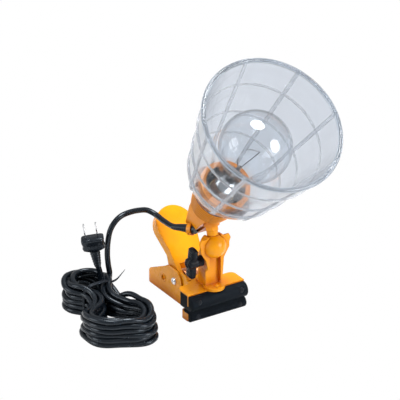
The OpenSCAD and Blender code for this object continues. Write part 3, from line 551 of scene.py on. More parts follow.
class Form:
    """Collects surfaces into one mesh piece."""

    def __init__(self) -> None:
        """Starts empty."""
        self.points: list = []
        self.faces: list = []

    def add_rings(self, rings: np.ndarray, cap_start: bool = True, cap_end: bool = True,
                  joined: bool = False) -> "Form":
        """Adds a skin over rings of points.

        Args:
            rings: an array of rings x sides x 3, the same number of sides in each.
            cap_start: closes the first ring with a face.
            cap_end: closes the last ring with a face.
            joined: the last ring runs on into the first.
        """
        base, (n, k) = len(self.points), rings.shape[:2]
        self.points += [tuple(p) for ring in rings for p in ring]
        for i in range(n if joined else n - 1):
            j = (i + 1) % n
            for a in range(k):
                b = (a + 1) % k
                self.faces.append((base + i * k + a, base + i * k + b, base + j * k + b, base + j * k + a))
        if cap_start and not joined:
            self.faces.append(tuple(base + a for a in reversed(range(k))))
        if cap_end and not joined:
            self.faces.append(tuple(base + (n - 1) * k + a for a in range(k)))
        return self

    def add_drawn(self, rings: Sequence, place: Matrix = Matrix.Identity(4), joined: bool = False) -> "Form":
        """Adds rings that are drawn in millimetres in a frame of their own."""
        return self.add_rings(apply(place, np.array(rings, float) * MM), joined=joined)

    def add_tube(self, path: np.ndarray, radii: Union[float, np.ndarray], sides: int = 12) -> "Form":
        """Adds a closed tube along a path."""
        return self.add_rings(tube_rings(path, radii, sides))

    def add_lathe(self, profile: Profile, place: Matrix, sides: int = 64, closed: bool = False,
                  wave: Optional[Callable[[float, float, float], float]] = None) -> "Form":
        """Adds a turned form round the local Z axis of a place.

        Args:
            profile: (radius, height) pairs in millimetres; a closed one's last point joins its first.
            place: the matrix from the profile's frame to the row frame.
            sides: steps round the axis.
            closed: True for a ring-shaped section.
            wave: gives an extra radius from the angle, the radius and the height.
        """
        turn, rings = round_turn(sides), []
        for r, h in profile:
            reach = r + np.array([wave(a, r, h) if wave and r > 0 else 0.0 for a in turn])
            rings.append(np.stack([reach * np.cos(turn), reach * np.sin(turn), np.full(sides, h)], axis=1))
        low, high = (not closed and profile[end][0] > 1e-4 for end in (0, -1))
        return self.add_rings(apply(place, np.array(rings) * MM), low, high, closed)

    def piece(self, name: str, material: bpy.types.Material, sharp: float = 40.0) -> bpy.types.Object:
        """Turns what was collected into a smooth-shaded object.

        Args:
            name: the object's name.
            material: its finish.
            sharp: edges over this angle, in degrees, stay sharp.

        Returns:
            The new object.
        """
        mesh = bpy.data.meshes.new(name)
        mesh.from_pydata(self.points, [], self.faces)
        grid = bmesh.new()
        grid.from_mesh(mesh)
        bmesh.ops.remove_doubles(grid, verts=grid.verts, dist=1e-7)
        bmesh.ops.recalc_face_normals(grid, faces=grid.faces)
        grid.to_mesh(mesh)
        grid.free()
        return dressed(name, mesh, material, sharp)


def apply(place: Matrix, points: np.ndarray) -> np.ndarray:
    """Points through a matrix."""
    m = np.array(place)
    return points @ m[:3, :3].T + m[:3, 3]


def dressed(name: str, mesh: bpy.types.Mesh, material: bpy.types.Material, sharp: float) -> bpy.types.Object:
    """Puts a mesh into the scene, smooth-shaded up to its sharp edges."""
    mesh.materials.clear()
    mesh.materials.append(material)
    mesh.shade_smooth()
    mesh.set_sharp_from_angle(angle=math.radians(sharp))
    obj = bpy.data.objects.new(name, mesh)
    bpy.context.scene.collection.objects.link(obj)
    return obj


def rounded_copy(node: str, material: bpy.types.Material, width: float, steps: int,
                 sharp: float = 38.0) -> bpy.types.Object:
    """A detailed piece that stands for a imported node: the node's own faces with rounded edges.

    Args:
        node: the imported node.
        material: the piece's finish.
        width: width of the rounding in metres.
        steps: steps of the rounding.
        sharp: edges over this angle, in degrees, are rounded.

    Returns:
        The new piece, which replaces the node.
    """
    grid = bmesh.new()
    grid.from_mesh(frame["nodes"][node].data)
    bmesh.ops.remove_doubles(grid, verts=grid.verts, dist=1e-6)
    bmesh.ops.dissolve_limit(grid, angle_limit=0.01, verts=grid.verts, edges=grid.edges)
    mesh = bpy.data.meshes.new(node + "_rounded")
    grid.to_mesh(mesh)
    grid.free()
    obj = dressed(node + "_rounded", mesh, material, sharp)
    rounding = obj.modifiers.new("rounding", "BEVEL")
    rounding.width, rounding.segments = width, steps
    rounding.limit_method, rounding.angle_limit = "ANGLE", math.radians(sharp)
    rounding.use_clamp_overlap, rounding.harden_normals = True, True
    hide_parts(node)
    return obj


def placed(obj: bpy.types.Object, body: Body, slot: Slot, *nodes: str) -> bpy.types.Object:
    """Puts a piece on its body and hides the nodes that it stands for."""
    if nodes:
        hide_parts(*nodes)
    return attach(obj, body.value)


@dataclass
class Assembly:
    """Pieces that share the lamp's finishes."""

    finishes: Finishes

    def fit(self, form: Form, name: str, body: Body, slot: Slot, *nodes: str, sharp: float = 40.0,
            material: Optional[bpy.types.Material] = None) -> bpy.types.Object:
        """Makes a form's piece and puts it on its body.

        Args:
            form: what was drawn.
            name: the piece's name.
            body: what it rides on.
            slot: where its finish comes from.
            *nodes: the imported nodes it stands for.
            sharp: edges over this angle, in degrees, stay sharp.
            material: a finish of its own instead of the slot's.

        Returns:
            The new piece.
        """
        return placed(form.piece(name, material or self.finishes[slot], sharp), body, slot, *nodes)

    def copy(self, node: str, body: Body, slot: Slot, width: float, steps: int = 3,
             material: Optional[bpy.types.Material] = None) -> bpy.types.Object:
        """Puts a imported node's own faces, with rounded edges, on its body."""
        return placed(rounded_copy(node, material or self.finishes[slot], width, steps), body, slot)


# Studio -----------------------------------------------------------------------------------------


@dataclass
class Studio:
    """White sweep, soft boxes and camera, at a plain level of light."""

    target: tuple[float, float, float] = (-0.030, -0.0652, 0.1466)
    azimuth: float = -32.5
    elevation: float = 26.0
    distance: float = 3.0
    focal: float = 266.0
    sensor: float = 36.0
    light_distance: float = 1.5
    floor_half: float = 4.0

    def build(self) -> None:
        """Makes the camera, the floor, the world and the lights."""
        self._camera()
        self._world()
        self._floor()
        self._light("top", (0.144, 0.013, 0.98), (1.0, 0.8), 29.0)
        self._light("left", (-0.918, 0.271, 0.256), (0.9, 1.0), 8.0)
        self._light("right", (0.503, -0.818, 0.282), (0.8, 0.95), 13.0)
        bpy.context.scene.view_settings.view_transform = "Standard"

    def _camera(self) -> None:
        """A long lens at the object's own angle, without depth of field."""
        data = bpy.data.cameras.new("camera")
        data.lens, data.sensor_width = self.focal, self.sensor
        data.clip_start, data.clip_end = 0.1, 20.0
        camera = bpy.data.objects.new("camera", data)
        bpy.context.scene.collection.objects.link(camera)
        a, e = math.radians(self.azimuth), math.radians(self.elevation)
        away = Vector((math.sin(a) * math.cos(e), -math.cos(a) * math.cos(e), math.sin(e)))
        camera.location = Vector(self.target) + away * self.distance
        camera.rotation_euler = away.to_track_quat("Z", "Y").to_euler()
        bpy.context.scene.camera = camera

    def _world(self) -> None:
        """White to the camera, a soft vertical sweep to everything else."""
        world = bpy.data.worlds.new("world")
        bpy.context.scene.world = world
        g = Graph(world, "OutputWorld")
        height = g.add("SeparateXYZ", {0: g.texture.outputs["Generated"]}).outputs["Z"]
        glossy, through, plain = (g.span(height, -0.2, 0.8, *ends)
                                  for ends in ((0.2, 0.6), (0.35, 0.7), (0.22, 0.46)))
        path, strength = g.add("LightPath"), plain
        for ray, value in (("Is Glossy Ray", glossy), ("Is Transmission Ray", through),
                           ("Is Camera Ray", 1.0)):
            pick = g.add("Mix", data_type="FLOAT")
            for index, entry in ((0, path.outputs[ray]), (2, strength), (3, value)):
                g.put(pick.inputs[index], entry)
            strength = pick.outputs[0]
        g.end(g.shader("Background", Color=rgb(1.0, 1.0, 1.0), Strength=strength))

    def _floor(self) -> None:
        """A wide pale floor under the lamp, plain white where the camera sees it."""
        g = Graph(bpy.data.materials.new("floor"))
        path = g.add("LightPath")
        white = g.shader("Emission", Color=rgb(1, 1, 1), Strength=1.0)
        through = g.shader("Emission", Color=rgb(0.7, 0.735, 0.8), Strength=1.0)
        pale = g.shader("BsdfDiffuse", Color=rgb(0.72, 0.72, 0.72))
        seen = g.layer(path.outputs["Is Transmission Ray"], pale, through)
        g.end(g.layer(path.outputs["Is Camera Ray"], seen, white))
        mesh = bpy.data.meshes.new("floor")
        low, half = CAD_BOX[0][2] - 0.0002, self.floor_half
        mesh.from_pydata([(x * half, y * half, low) for x, y in ((-1, -1), (1, -1), (1, 1), (-1, 1))], [],
                         [(0, 1, 2, 3)])
        mesh.materials.append(g.owner)
        floor = bpy.data.objects.new("floor", mesh)
        bpy.context.scene.collection.objects.link(floor)

    def _light(self, name: str, way: Point, size: tuple[float, float], power: float) -> None:
        """One soft box that looks at the lamp.

        Args:
            name: the light's name.
            way: the direction from the lamp to the light.
            size: its width and height in metres.
            power: in watts.
        """
        data = bpy.data.lights.new(name, "AREA")
        data.shape, data.size, data.size_y, data.energy = "ELLIPSE", size[0], size[1], power
        light = bpy.data.objects.new(name, data)
        light.location = Vector(self.target) + Vector(way).normalized() * self.light_distance
        light.rotation_euler = Vector(way).to_track_quat("Z", "Y").to_euler()
        bpy.context.scene.collection.objects.link(light)


# Cord -------------------------------------------------------------------------------------------


# Where the cord leaves the block, in millimetres, and which way it points
CORD_EXIT = np.array((-12.4, -18.5, 89.6))
CORD_WAY = unit((-0.44, 0.888, -0.13))


@dataclass
class HankShape:
    """A mains cord folded into a bow-tie hank and settled under its own weight. Millimetres inside."""

    diameter: float = 6.0
    top: float = 33.0
    fold_radius: float = 21.5
    layers: tuple[int, ...] = (3, 4, 5, 2, 1, 0)
    lift: float = 5.85
    nest: float = 6.3
    seed: int = 11
    steps: int = 420
    sink: float = 0.02
    search_every: int = 8
    search_reach: float = 5.0
    own_points: int = 7
    rest_step: float = 5.0
    drawn_step: float = 2.6

    def outline(self) -> np.ndarray:
        """The bow tie that the hank stays inside, seen from above."""
        return np.array(arc(-105.5, 35.6, 28.2, -14, 90) + arc(-105.5, 35.6, 28.2, 102, 194)
                        + [(-121, 22), (-121, 14)] + arc(-126, -14, 21, 110, 190)
                        + arc(-126, -38, 21, 180, 265) + arc(-96, -54, 21, 265, 360)
                        + [(-75.5, -40), (-79, -4), (-83, 12), (-83, 22)])

    def first_lay(self, start: Point, finish: Sequence[Point]) -> np.ndarray:
        """Lays the turns, two nested loops in each layer.

        Args:
            start: where the cord comes down into the hank.
            finish: the last points, up to the plug.

        Returns:
            Control points, before they settle.
        """
        rng = np.random.default_rng(self.seed)
        sways = (-3.0, 3.5, -1.5, 4.0, -4.0, 1.0)
        points = [tuple(start), (start[0] + 0.2, start[1] - 0.3, start[2] - 6), (-80.3, 35.5, 24.5)]
        for number, layer in enumerate(self.layers):
            z, up, sway = 3.4 + self.lift * layer, layer / 5, sways[layer]
            for k in ((0, 1) if number % 2 == 0 else (1, 0)):
                g, out = (1 - k) * self.nest, 3.2 + 6.2 * k
                slack = rng.uniform(0, 3) + 5.0 * up * (1 if layer % 2 else 0.2)
                radius = max(18.6, 25.0 - g)
                fold = (-105.5 + sway * 0.6, 61 - radius - slack - (g if radius > 25.0 - g else 0))
                first = len(points) < 4
                points += [] if first else [(-102 + out, 12, z), (-100 + out, 21, z)]
                points += [(fold[0] + radius * math.cos(a), fold[1] + radius * math.sin(a), z)
                           for a in np.radians(([] if first else [-12, 20]) + [55, 90, 125, 160, 192])]
                points += [(-106 - out, 21, z), (-103 - out, 12, z)]
                points += [(x, y, z) for x, y in (
                    (-124 + g * 0.8 + sway, 1), (-139 + g + sway * 0.5, -14), (-143.5 + g, -29),
                    (-139 + g, -43 + g * 0.3), (-126 + g * 0.6, -54 + g * 0.8), (-109, -63 + g + slack),
                    (-93, -71 + g + slack * 1.2), (-82 - g * 0.5, -64 + g * 0.9 + slack),
                    (-78.5 - g, -47 + g * 0.4), (-80 - g + sway * 0.5, -25), (-85 - g * 0.4, -3))]
        points += [(-92, 14, 4), (-87, 25, 8), (-84.5, 31, 18)]
        return np.array(points + [tuple(p) for p in finish])

    def settle(self, p: np.ndarray, held: np.ndarray) -> np.ndarray:
        """Lets the turns push apart, straighten and sink.

        Args:
            p: the cord's points at an even step.
            held: True for points that stay where they are.

        Returns:
            The points at rest.
        """
        n, free = len(p), (~held)[:, None]
        rest = float(np.linalg.norm(np.diff(p, axis=0), axis=1).mean())
        fixed, gap, outline = p.copy(), self.diameter, self.outline()
        for step in range(self.steps):
            p[:, 2] -= self.sink * free[:, 0]
            if step % self.search_every == 0:
                apart = ((p[:, None, :] - p[None, :, :]) ** 2).sum(2)
                first, second = np.where(np.triu(apart < (gap + self.search_reach) ** 2, self.own_points))
            # turns that touch push each other away
            v = p[first] - p[second]
            far = np.sqrt((v ** 2).sum(1))
            near = far < gap
            push = (0.5 * (gap - far[near]) / np.maximum(far[near], 0.3))[:, None] * v[near]
            move, hits = np.zeros_like(p), np.zeros(n)
            for index, sign in ((first[near], 1), (second[near], -1)):
                np.add.at(move, index, sign * push)
                np.add.at(hits, index, 1)
            p += move / np.maximum(1, hits)[:, None] * free
            # bends tighter than a fold straighten
            for stride, weight in ((1, 0.7), (2, 0.7), (3, 0.8), (4, 0.8)):
                off = 0.5 * (p[:-2 * stride] + p[2 * stride:]) - p[stride:-stride]
                size = np.linalg.norm(off, axis=1)
                limit = (rest * stride) ** 2 / (2 * self.fold_radius)
                bend = (weight * np.maximum(0, size - limit) / np.maximum(size, 1e-9))[:, None] * off
                move = np.zeros_like(p)
                move[stride:-stride] += 0.5 * bend
                move[:-2 * stride] -= 0.25 * bend
                move[2 * stride:] -= 0.25 * bend
                p += move * free
            # the cord keeps its length
            for _ in range(4):
                for odd in (0, 1):
                    v = p[1:] - p[:-1]
                    size = np.linalg.norm(v, axis=1)
                    fix = (0.5 * (size - rest) / np.maximum(size, 1e-6))[:, None] * v
                    move = np.zeros_like(p)
                    move[:-1][odd::2] += fix[odd::2]
                    move[1:][odd::2] -= fix[odd::2]
                    p += move * free
            # and it stays inside the bow tie, over the ground
            p[:, :2] += self._pulled_in(p[:, :2], outline) * free
            p[:, 2] = np.where(held, p[:, 2], np.clip(p[:, 2], self.diameter / 2, self.top))
            p[held] = fixed[held]
        return p

    def _pulled_in(self, xy: np.ndarray, outline: np.ndarray) -> np.ndarray:
        """How far each point moves to stay half a cord inside the outline."""
        a, b = outline, np.roll(outline, -1, axis=0)
        d, w = b - a, xy[:, None, :] - a[None]
        t = np.clip((w * d[None]).sum(2) / (d ** 2).sum(1), 0, 1)
        v = w - t[..., None] * d[None]
        far = np.sqrt((v ** 2).sum(2))
        k, rows = far.argmin(1), np.arange(len(xy))
        crosses = (a[None, :, 1] > xy[:, 1:2]) != (b[None, :, 1] > xy[:, 1:2])
        at = d[None, :, 0] * (xy[:, 1:2] - a[None, :, 1]) / (d[None, :, 1] + 1e-12) + a[None, :, 0]
        inside = ((crosses & (xy[:, 0:1] < at)).sum(1) % 2) == 1
        signed = np.where(inside, far[rows, k], -far[rows, k])
        away = v[rows, k] / np.maximum(far[rows, k], 1e-6)[:, None] * np.where(inside, 1, -1)[:, None]
        return away * np.maximum(0, self.diameter / 2 - signed)[:, None]

    def path(self, start: Point, finish: Sequence[Point]) -> np.ndarray:
        """The settled centreline, in millimetres."""
        p = resampled(rounded(self.first_lay(start, finish), 8), self.rest_step)
        held = np.zeros(len(p), bool)
        held[:2] = True
        held[-3:] = True
        p = self.settle(p, held)
        for _ in range(2):
            p[1:-1] = 0.5 * p[1:-1] + 0.25 * (p[:-2] + p[2:])
        return resampled(rounded(p, 4), self.drawn_step)


@dataclass
class MainsCord(Assembly):
    """The cord: a free lead from the lamp, a tied hank on the ground, and a two-blade plug."""

    diameter: float = 0.006
    plug_at: Point = (-93.4, 34.0, 46.0)
    lean: tuple[tuple[float, str], ...] = ((-9.8, "Y"), (-1.5, "X"), (-31.0, "Z"))

    def build(self) -> np.ndarray:
        """Makes every stretch and what is on it, and returns the free lead's centreline."""
        way = self._lead()
        self._hank(way, self._plug())
        self._tie()
        return way

    def _lead(self) -> np.ndarray:
        """The free stretch, cut into three lengths along its route past the bodies it crosses."""
        route = [CORD_EXIT + 12.0 * CORD_WAY, (-20.5, -1, 86.5), (-21.3, 8, 85.6), (-21.6, 21, 85.6),
                 (-22.4, 33, 87), (-28, 40.5, 90.5), (-38, 40, 93.5), (-50, 38, 95.5), (-62, 36.5, 95),
                 (-71, 35.5, 90.5), (-77.5, 34.8, 82), (-80.8, 34, 70), (-82, 33.5, 57), (-81.8, 32.5, 46),
                 (-81, 31, 36)]
        way = resampled(rounded(route, 10), 1.8) * MM
        rings = tube_rings(way, self.diameter / 2, 16)
        cuts = [0, len(way) // 3, 2 * len(way) // 3, len(way) - 1]
        for number, (a, b) in enumerate(zip(cuts[:-1], cuts[1:])):
            form = Form().add_rings(rings[a:b + 1], number == 0, number == 2)
            piece = form.piece(f"cord_free_{number + 1}", self.finishes[Slot.CORD])
            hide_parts("cord_lead")
            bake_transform(piece)
        log.info("lead %.3f m", line_length(way))
        return way

    def _hank(self, lead: np.ndarray, plug: list[bpy.types.Object]) -> None:
        """The folded and tied length, on up to the plug's neck."""
        tail = [(-90, 33, 36), (-92, 33.5, 41), (-93.2, 34, 45.6)]
        way = HankShape().path(tuple(lead[-1] * 1000), tail) * MM
        form = Form().add_tube(way, self.diameter / 2, 10)
        piece = self.fit(form, "cord_hank_turns", Body.LOWER, Slot.CORD, "cord_hank", "cord_tail")
        log.info("hank %.3f m, %d points", line_length(way), len(way))

    def _plug(self) -> list[bpy.types.Object]:
        """The moulded plug with its ribbed, tapered neck, and its two blades."""
        place = stand_at(*self.plug_at, *self.lean)
        rows = ((20.0, 6.4, 6.0, 2.4), (21.2, 9.6, 6.4, 3.0), (22.4, 11.4, 6.9, 4.0),
                (24.5, 11.9, 7.0, 5.0), (27.0, 11.2, 6.5, 5.0), (28.4, 11.2, 6.5, 5.0),
                (30.2, 11.9, 7.0, 6.0), (33.2, 12.0, 7.0, 6.0), (34.4, 11.8, 6.8, 6.0),
                (35.0, 11.2, 6.2, 6.0))
        body = Form().add_drawn([[(x, y, h) for x, y in squared(half_x, half_y, power, 36)]
                                 for h, half_x, half_y, power in rows], place)
        neck = []
        for h in (0.2 + 20.0 * k / 40 for k in range(41)):
            rib = 0.45 * math.cos(2 * math.pi * h / 3.1) if 1.5 < h < 18.5 else 0.0
            neck.append((3.5 + 2.0 * h / 20 + rib, h))
        body.add_lathe([(0.0, 0.2)] + neck + [(0.0, 20.4)], place, 28)
        shell = self.fit(body, "plug_moulding", Body.LOWER, Slot.CORD, "plug_body", sharp=50)
        blades = Form()
        outline = [(-3.1, 34.6), (3.1, 34.6), (3.1, 50.0), (2.2, 51.4), (-2.2, 51.4), (-3.1, 50.0)]
        for side in (-1, 1):
            blade = stand_at(side * 6.35, 0, 0, (90, "Y"), (90, "Z"), base=place)
            self._pierced(blades, outline, circle(0, 47.2, 1.4, 12), blade, 0.7)
        tips = self.fit(blades, "plug_contacts", Body.LOWER, Slot.BRASS, "plug_blades", sharp=30,
                        material=self.finishes[Slot.BRIGHT])
        return [shell, tips]

    @staticmethod
    def _pierced(form: Form, outline: Profile, hole: Profile, place: Matrix, half: float) -> None:
        """Adds a plate with a round hole through it.

        Args:
            form: the form it is added to.
            outline: the plate's corners, in millimetres.
            hole: the hole's points, in millimetres.
            place: the plate's frame; its thickness runs along local Z.
            half: half its thickness, in millimetres.
        """
        centre = np.mean(hole, axis=0)
        spokes = [math.atan2(y - centre[1], x - centre[0]) for x, y in hole]
        edge = []
        for a in spokes:
            ray, best = np.array((math.cos(a), math.sin(a))), 1e9
            for (x0, y0), (x1, y1) in zip(outline, list(outline[1:]) + [outline[0]]):
                m = np.array([[ray[0], x0 - x1], [ray[1], y0 - y1]])
                if abs(np.linalg.det(m)) < 1e-9:
                    continue
                t, u = np.linalg.solve(m, np.array((x0, y0)) - centre)
                if t > 0 and -1e-6 <= u <= 1 + 1e-6:
                    best = min(best, t)
            edge.append(tuple(centre + best * ray))
        form.add_drawn([[(x, y, z) for x, y in ring] for ring, z in (
            (hole, -half), (edge, -half), (edge, half), (hole, half))], place, joined=True)

    def _tie(self) -> None:
        """A coated wire wound twice round the waist, its ends twisted into a point."""
        form = Form()
        for y in (17.9, 20.1):
            loop = [(-102 + x, y + 0.5 * math.sin(2 * a), 18.0 + z)
                    for a, (x, z) in zip(round_turn(56), squared(17.8, 16.7, 3.4, 56))]
            loop.append(loop[0])
            rings = tube_rings(np.array(loop) * MM, 0.00115, 10)[:-1]
            form.add_rings(rings, joined=True)
        spine = rounded([(-85.2, 19, 31.5), (-79, 20, 32.4), (-73, 21.8, 35), (-66.4, 23.8, 38.6)], 14)
        turns = np.linspace(0, 7.5 * math.pi, len(spine))
        taper = np.linspace(1.0, 0.12, len(spine))
        along = unit(np.gradient(spine, axis=0))
        side = unit(np.cross(along, (0, 0, 1.0)))
        up = np.cross(side, along)
        for phase in (0.0, math.pi):
            c, s = np.cos(turns + phase)[:, None], np.sin(turns + phase)[:, None]
            twist = 0.62 * taper[:, None] * (c * side + s * up)
            form.add_tube((spine + twist) * MM, 0.00072 * taper + 0.0001, 8)
        self.fit(form, "cord_wire_tie", Body.LOWER, Slot.TIE, "cord_tie")


# Clamp ------------------------------------------------------------------------------------------


@dataclass
class RubberPad:
    """One jaw pad: a ribbed rubber nose over the jaw's edge, its ends rounded off.

    Lengths in millimetres. The nose is a half circle about (nose_y, nose_z), and the ribs run along X.
    """

    name: str
    node: str
    body: Body
    nose_y: float
    nose_z: float
    radius: float
    rib_arc: tuple[float, float]
    tail: Profile
    rib_pitch: float = 1.35
    rib_depth: float = 0.42
    half: float = 34.5

    def section(self, inset: float) -> list[tuple[float, float]]:
        """The outline in Y and Z, drawn in by that much near the ends."""
        points = []
        for a in np.linspace(90.0, 270.0, 121):
            cut = 0.0
            if self.rib_arc[0] <= a <= self.rib_arc[1]:
                run = math.radians(a - self.rib_arc[0]) * self.radius
                cut = self.rib_depth * (0.5 - 0.5 * math.cos(2 * math.pi * run / self.rib_pitch)) ** 1.5
            r, turn = self.radius - cut - inset, math.radians(a)
            points.append((self.nose_y + r * math.cos(turn), self.nose_z + r * math.sin(turn)))
        low, high = self.nose_z - self.radius + inset, self.nose_z + self.radius - inset
        return points + [(y, min(max(z, low), high)) for y, z in self.tail]

    def form(self) -> Form:
        """Draws the pad along X."""
        ends = [(x - self.half, inset) for x, inset in ((0.0, 0.9), (0.25, 0.45), (0.7, 0.12), (1.3, 0.0))]
        middle = [(x, 0.0) for x in np.linspace(-self.half + 6, self.half - 6, 9)]
        stations = ends + middle + [(-x, inset) for x, inset in reversed(ends)]
        return Form().add_drawn([[(x, y, z) for y, z in self.section(inset)] for x, inset in stations])


@dataclass
class Clamp(Assembly):
    """The two pressed halves, their pads and rivets, the hinge pin and the spring."""

    pin_z: float = 22.7
    spring_half: float = 10.6
    spring_radius: float = 9.0
    spring_turns: int = 9
    wire: float = 2.4

    def build(self) -> None:
        """Makes every piece of the clamp."""
        self.copy("lower_jaw_plate", Body.LOWER, Slot.PAINT, 0.00045)
        self.copy("upper_jaw_plate", Body.UPPER, Slot.PAINT, 0.00045)
        for pad in (
                RubberPad("upper_pad_moulding", "upper_jaw_pad", Body.UPPER, -50.3, 21.1, 8.4, (212.0, 262.0),
                          ((-38.0, 12.7), (-34.3, 12.9), (-34.3, 29.3), (-34.6, 29.5), (-47.9, 29.5),
                           (-47.9, 18.0), (-49.6, 18.0), (-49.6, 29.5))),
                RubberPad("lower_pad_moulding", "lower_jaw_pad", Body.LOWER, -49.5, 6.2, 6.2, (97.0, 168.0),
                          ((-49.5, 9.05), (-41.2, 9.05), (-41.0, 9.3), (-41.0, 12.1), (-41.3, 12.4)))):
            self.fit(pad.form(), pad.name, pad.body, Slot.JAW_RUBBER, pad.node, sharp=32)
        self._rivets()
        self._pin()
        self._hole_bead()
        self._spring()

    def _rivets(self) -> None:
        """Four domed black rivet heads, each with a moulded collar, in the pads' noses."""
        profile = [(0, -1.0), (1.5, -1.0), (1.5, 0.0), (3.0, 0.0), (3.0, 0.7), (2.85, 1.15), (2.5, 1.55),
                   (2.0, 1.85), (1.2, 2.08), (0.6, 2.15), (0.45, 1.9), (0.0, 1.85)]
        for node, body, z, seat in (("lower_pad_rivets", Body.LOWER, 6.2, -54.1),
                                    ("upper_pad_rivets", Body.UPPER, 23.9, -57.1)):
            form = Form()
            for x in (-26.0, 26.0):
                form.add_lathe(profile, stand_at(x, seat, z, (90, "X")), 28)
            self.fit(form, node + "_heads", body, Slot.RIVET, node, sharp=35)

    def _pin(self) -> None:
        """The bright hinge pin: plain on the right, a slotted dome on the left."""
        place = stand_at(0, 0, self.pin_z, (-90, "Y"))
        shaft = [(0, -23.6), (2.5, -23.6), (2.98, -23.1), (2.98, -22.0), (2.98, -20.6), (2.98, 20.6),
                 (0, 20.6)]
        head = [(0, 20.62), (3.98, 20.62), (3.98, 21.2), (3.8, 21.75), (3.35, 22.2), (0, 22.2)]
        slot_half = 0.42
        form = Form().add_lathe(shaft, place, 32).add_lathe(head, place, 32)
        for side in (0.0, math.pi):
            rings = []
            for r, h in ((3.4, 22.15), (2.95, 22.65), (2.2, 23.0), (1.3, 23.15)):
                start = math.asin(slot_half / r)
                rings.append([(r * math.cos(side + a), r * math.sin(side + a), h)
                              for a in np.linspace(start, math.pi - start, 17)])
            form.add_drawn(rings, place)
        self.fit(form, "hinge_pin_turned", Body.LOWER, Slot.BRIGHT, "hinge_pin", sharp=35)

    def _hole_bead(self) -> None:
        """Pressed beads round the hanging hole, outside both lower cheeks."""
        ring = [(4.0 + 0.85 * math.cos(a), 0.55 * math.sin(a)) for a in round_turn(10)]
        for side, name in ((-1, "left"), (1, "right")):
            form = Form().add_lathe(ring, stand_at(side * 20.55, 21.6, 17.5, (90, "Y")), 48, closed=True)
            self.fit(form, "hole_bead_" + name, Body.LOWER, Slot.PAINT, sharp=60)

    def _spring(self) -> None:
        """The torsion spring, its legs set into the two halves."""
        half, turns = self.spring_half, 360 * self.spring_turns
        run = [(-half, 24, 2.8), (-half, 14, 4.3), (-half, 7, self.pin_z - 12)]
        coil = [(-half + 2 * half * a / turns, self.spring_radius * math.cos(math.radians(270 + a)),
                 self.pin_z + self.spring_radius * math.sin(math.radians(270 + a)))
                for a in range(0, turns + 181, 15)]
        last = coil[-1][0]
        slope = math.radians(46)
        legs = [(last, -9.3 + u * math.cos(slope) + w * math.sin(slope),
                 31 + u * math.sin(slope) - w * math.cos(slope)) for u, w in ((18, 4.2), (30, 2.8))]
        way = resampled(rounded(run, 6), 1.0).tolist() + coil + legs
        form = Form().add_tube(np.array(way) * MM, self.wire / 2 * MM, 12)
        obj = form.piece("spring_wire", self.finishes[Slot.SPRING], sharp=60)
        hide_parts("torsion_spring")
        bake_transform(obj)


# Arm and knob -----------------------------------------------------------------------------------


@dataclass
class Arm(Assembly):
    """The folded post, the two cups round the ball, and the wing knob that closes them."""

    bolt: Point = (0.0, -37.1, 60.2)
    knob_turn: float = 9.0

    def build(self) -> None:
        """Makes every piece of the arm."""
        self.copy("arm_post", Body.UPPER, Slot.PAINT, 0.0005)
        self.copy("clamp_plate", Body.UPPER, Slot.PAINT, 0.0005)
        self.copy("post_rivets", Body.UPPER, Slot.PAINT, 0.0003, 2)
        self.copy("clamp_bolt", Body.UPPER, Slot.BRIGHT, 0.00035, 2)
        self._ball()
        self._knob()

    def _ball(self) -> None:
        """The painted ball with its flat and the bore that the stem turns in."""
        r, flat = 12.88, 11.5
        start = math.degrees(math.asin(flat / r))
        line = arc(0, 0, r, -90, start - 1, 40)
        line[0] = (0.0, -r)
        line += [(r * math.cos(math.radians(start)) - 0.25, flat - 0.03), (4.3, flat), (4.08, flat - 0.25),
                 (4.06, 2.0), (0.0, 1.6)]
        form = Form().add_lathe(line, stand_at(0, -44.9, 77.8, (-12, "X")), 64)
        self.fit(form, "ball_turned", Body.BALL, Slot.PAINT, "swivel_ball", sharp=35)

    def _knob(self) -> None:
        """The moulded wing knob: two tapered, grooved wings on a round hub with a domed end."""
        turn = (self.knob_turn, "X")
        form = Form()
        for side in (-1, 1):
            rings = []
            for t in np.linspace(0.0, 1.0, 30):
                half_x, half_y = 3.95 - 0.5 * t, 5.0 + 0.95 * min(1.0, t / 0.5) ** 2
                if 0.42 < t < 0.86:
                    half_x -= 0.28 * (0.5 - 0.5 * math.cos(2 * math.pi * (t - 0.42) / 0.145))
                tip = max(0.0, (t - 0.86) / 0.14)
                shrink = math.sqrt(max(0.0, 1 - tip ** 2.6)) * 0.42 + 0.58
                rings.append([(-21.9 + x, y, side * (1.5 + 15.7 * t))
                              for x, y in squared(half_x * shrink, half_y * shrink, 4, 32)])
            form.add_drawn(rings, stand_at(*self.bolt, turn))
        hub = [(0.0, 10.05), (2.75, 10.05), (5.6, 10.05), (6.0, 10.4), (6.0, 11.6), (5.5, 12.0), (5.5, 15.8),
               (6.1, 16.6), (6.3, 17.6), (6.3, 25.6), (6.1, 26.6), (5.5, 27.5), (4.2, 28.1), (3.4, 28.25),
               (3.1, 27.6), (0.0, 27.6)]
        form.add_lathe(hub, stand_at(*self.bolt, turn, (-90, "Y")), 64, wave=self._flute)
        self.fit(form, "wing_knob_moulding", Body.KNOB, Slot.KNOB, "wing_knob", sharp=34)

    @staticmethod
    def _flute(angle: float, _: float, height: float) -> float:
        """Sixteen flutes round the hub's waist."""
        return 0.22 * math.cos(16 * angle) if 12.0 <= height <= 15.8 else 0.0


# Lamp head --------------------------------------------------------------------------------------

# How far the mouth of the socket's cover is from the head's joint, in millimetres
MOUTH = 51.5


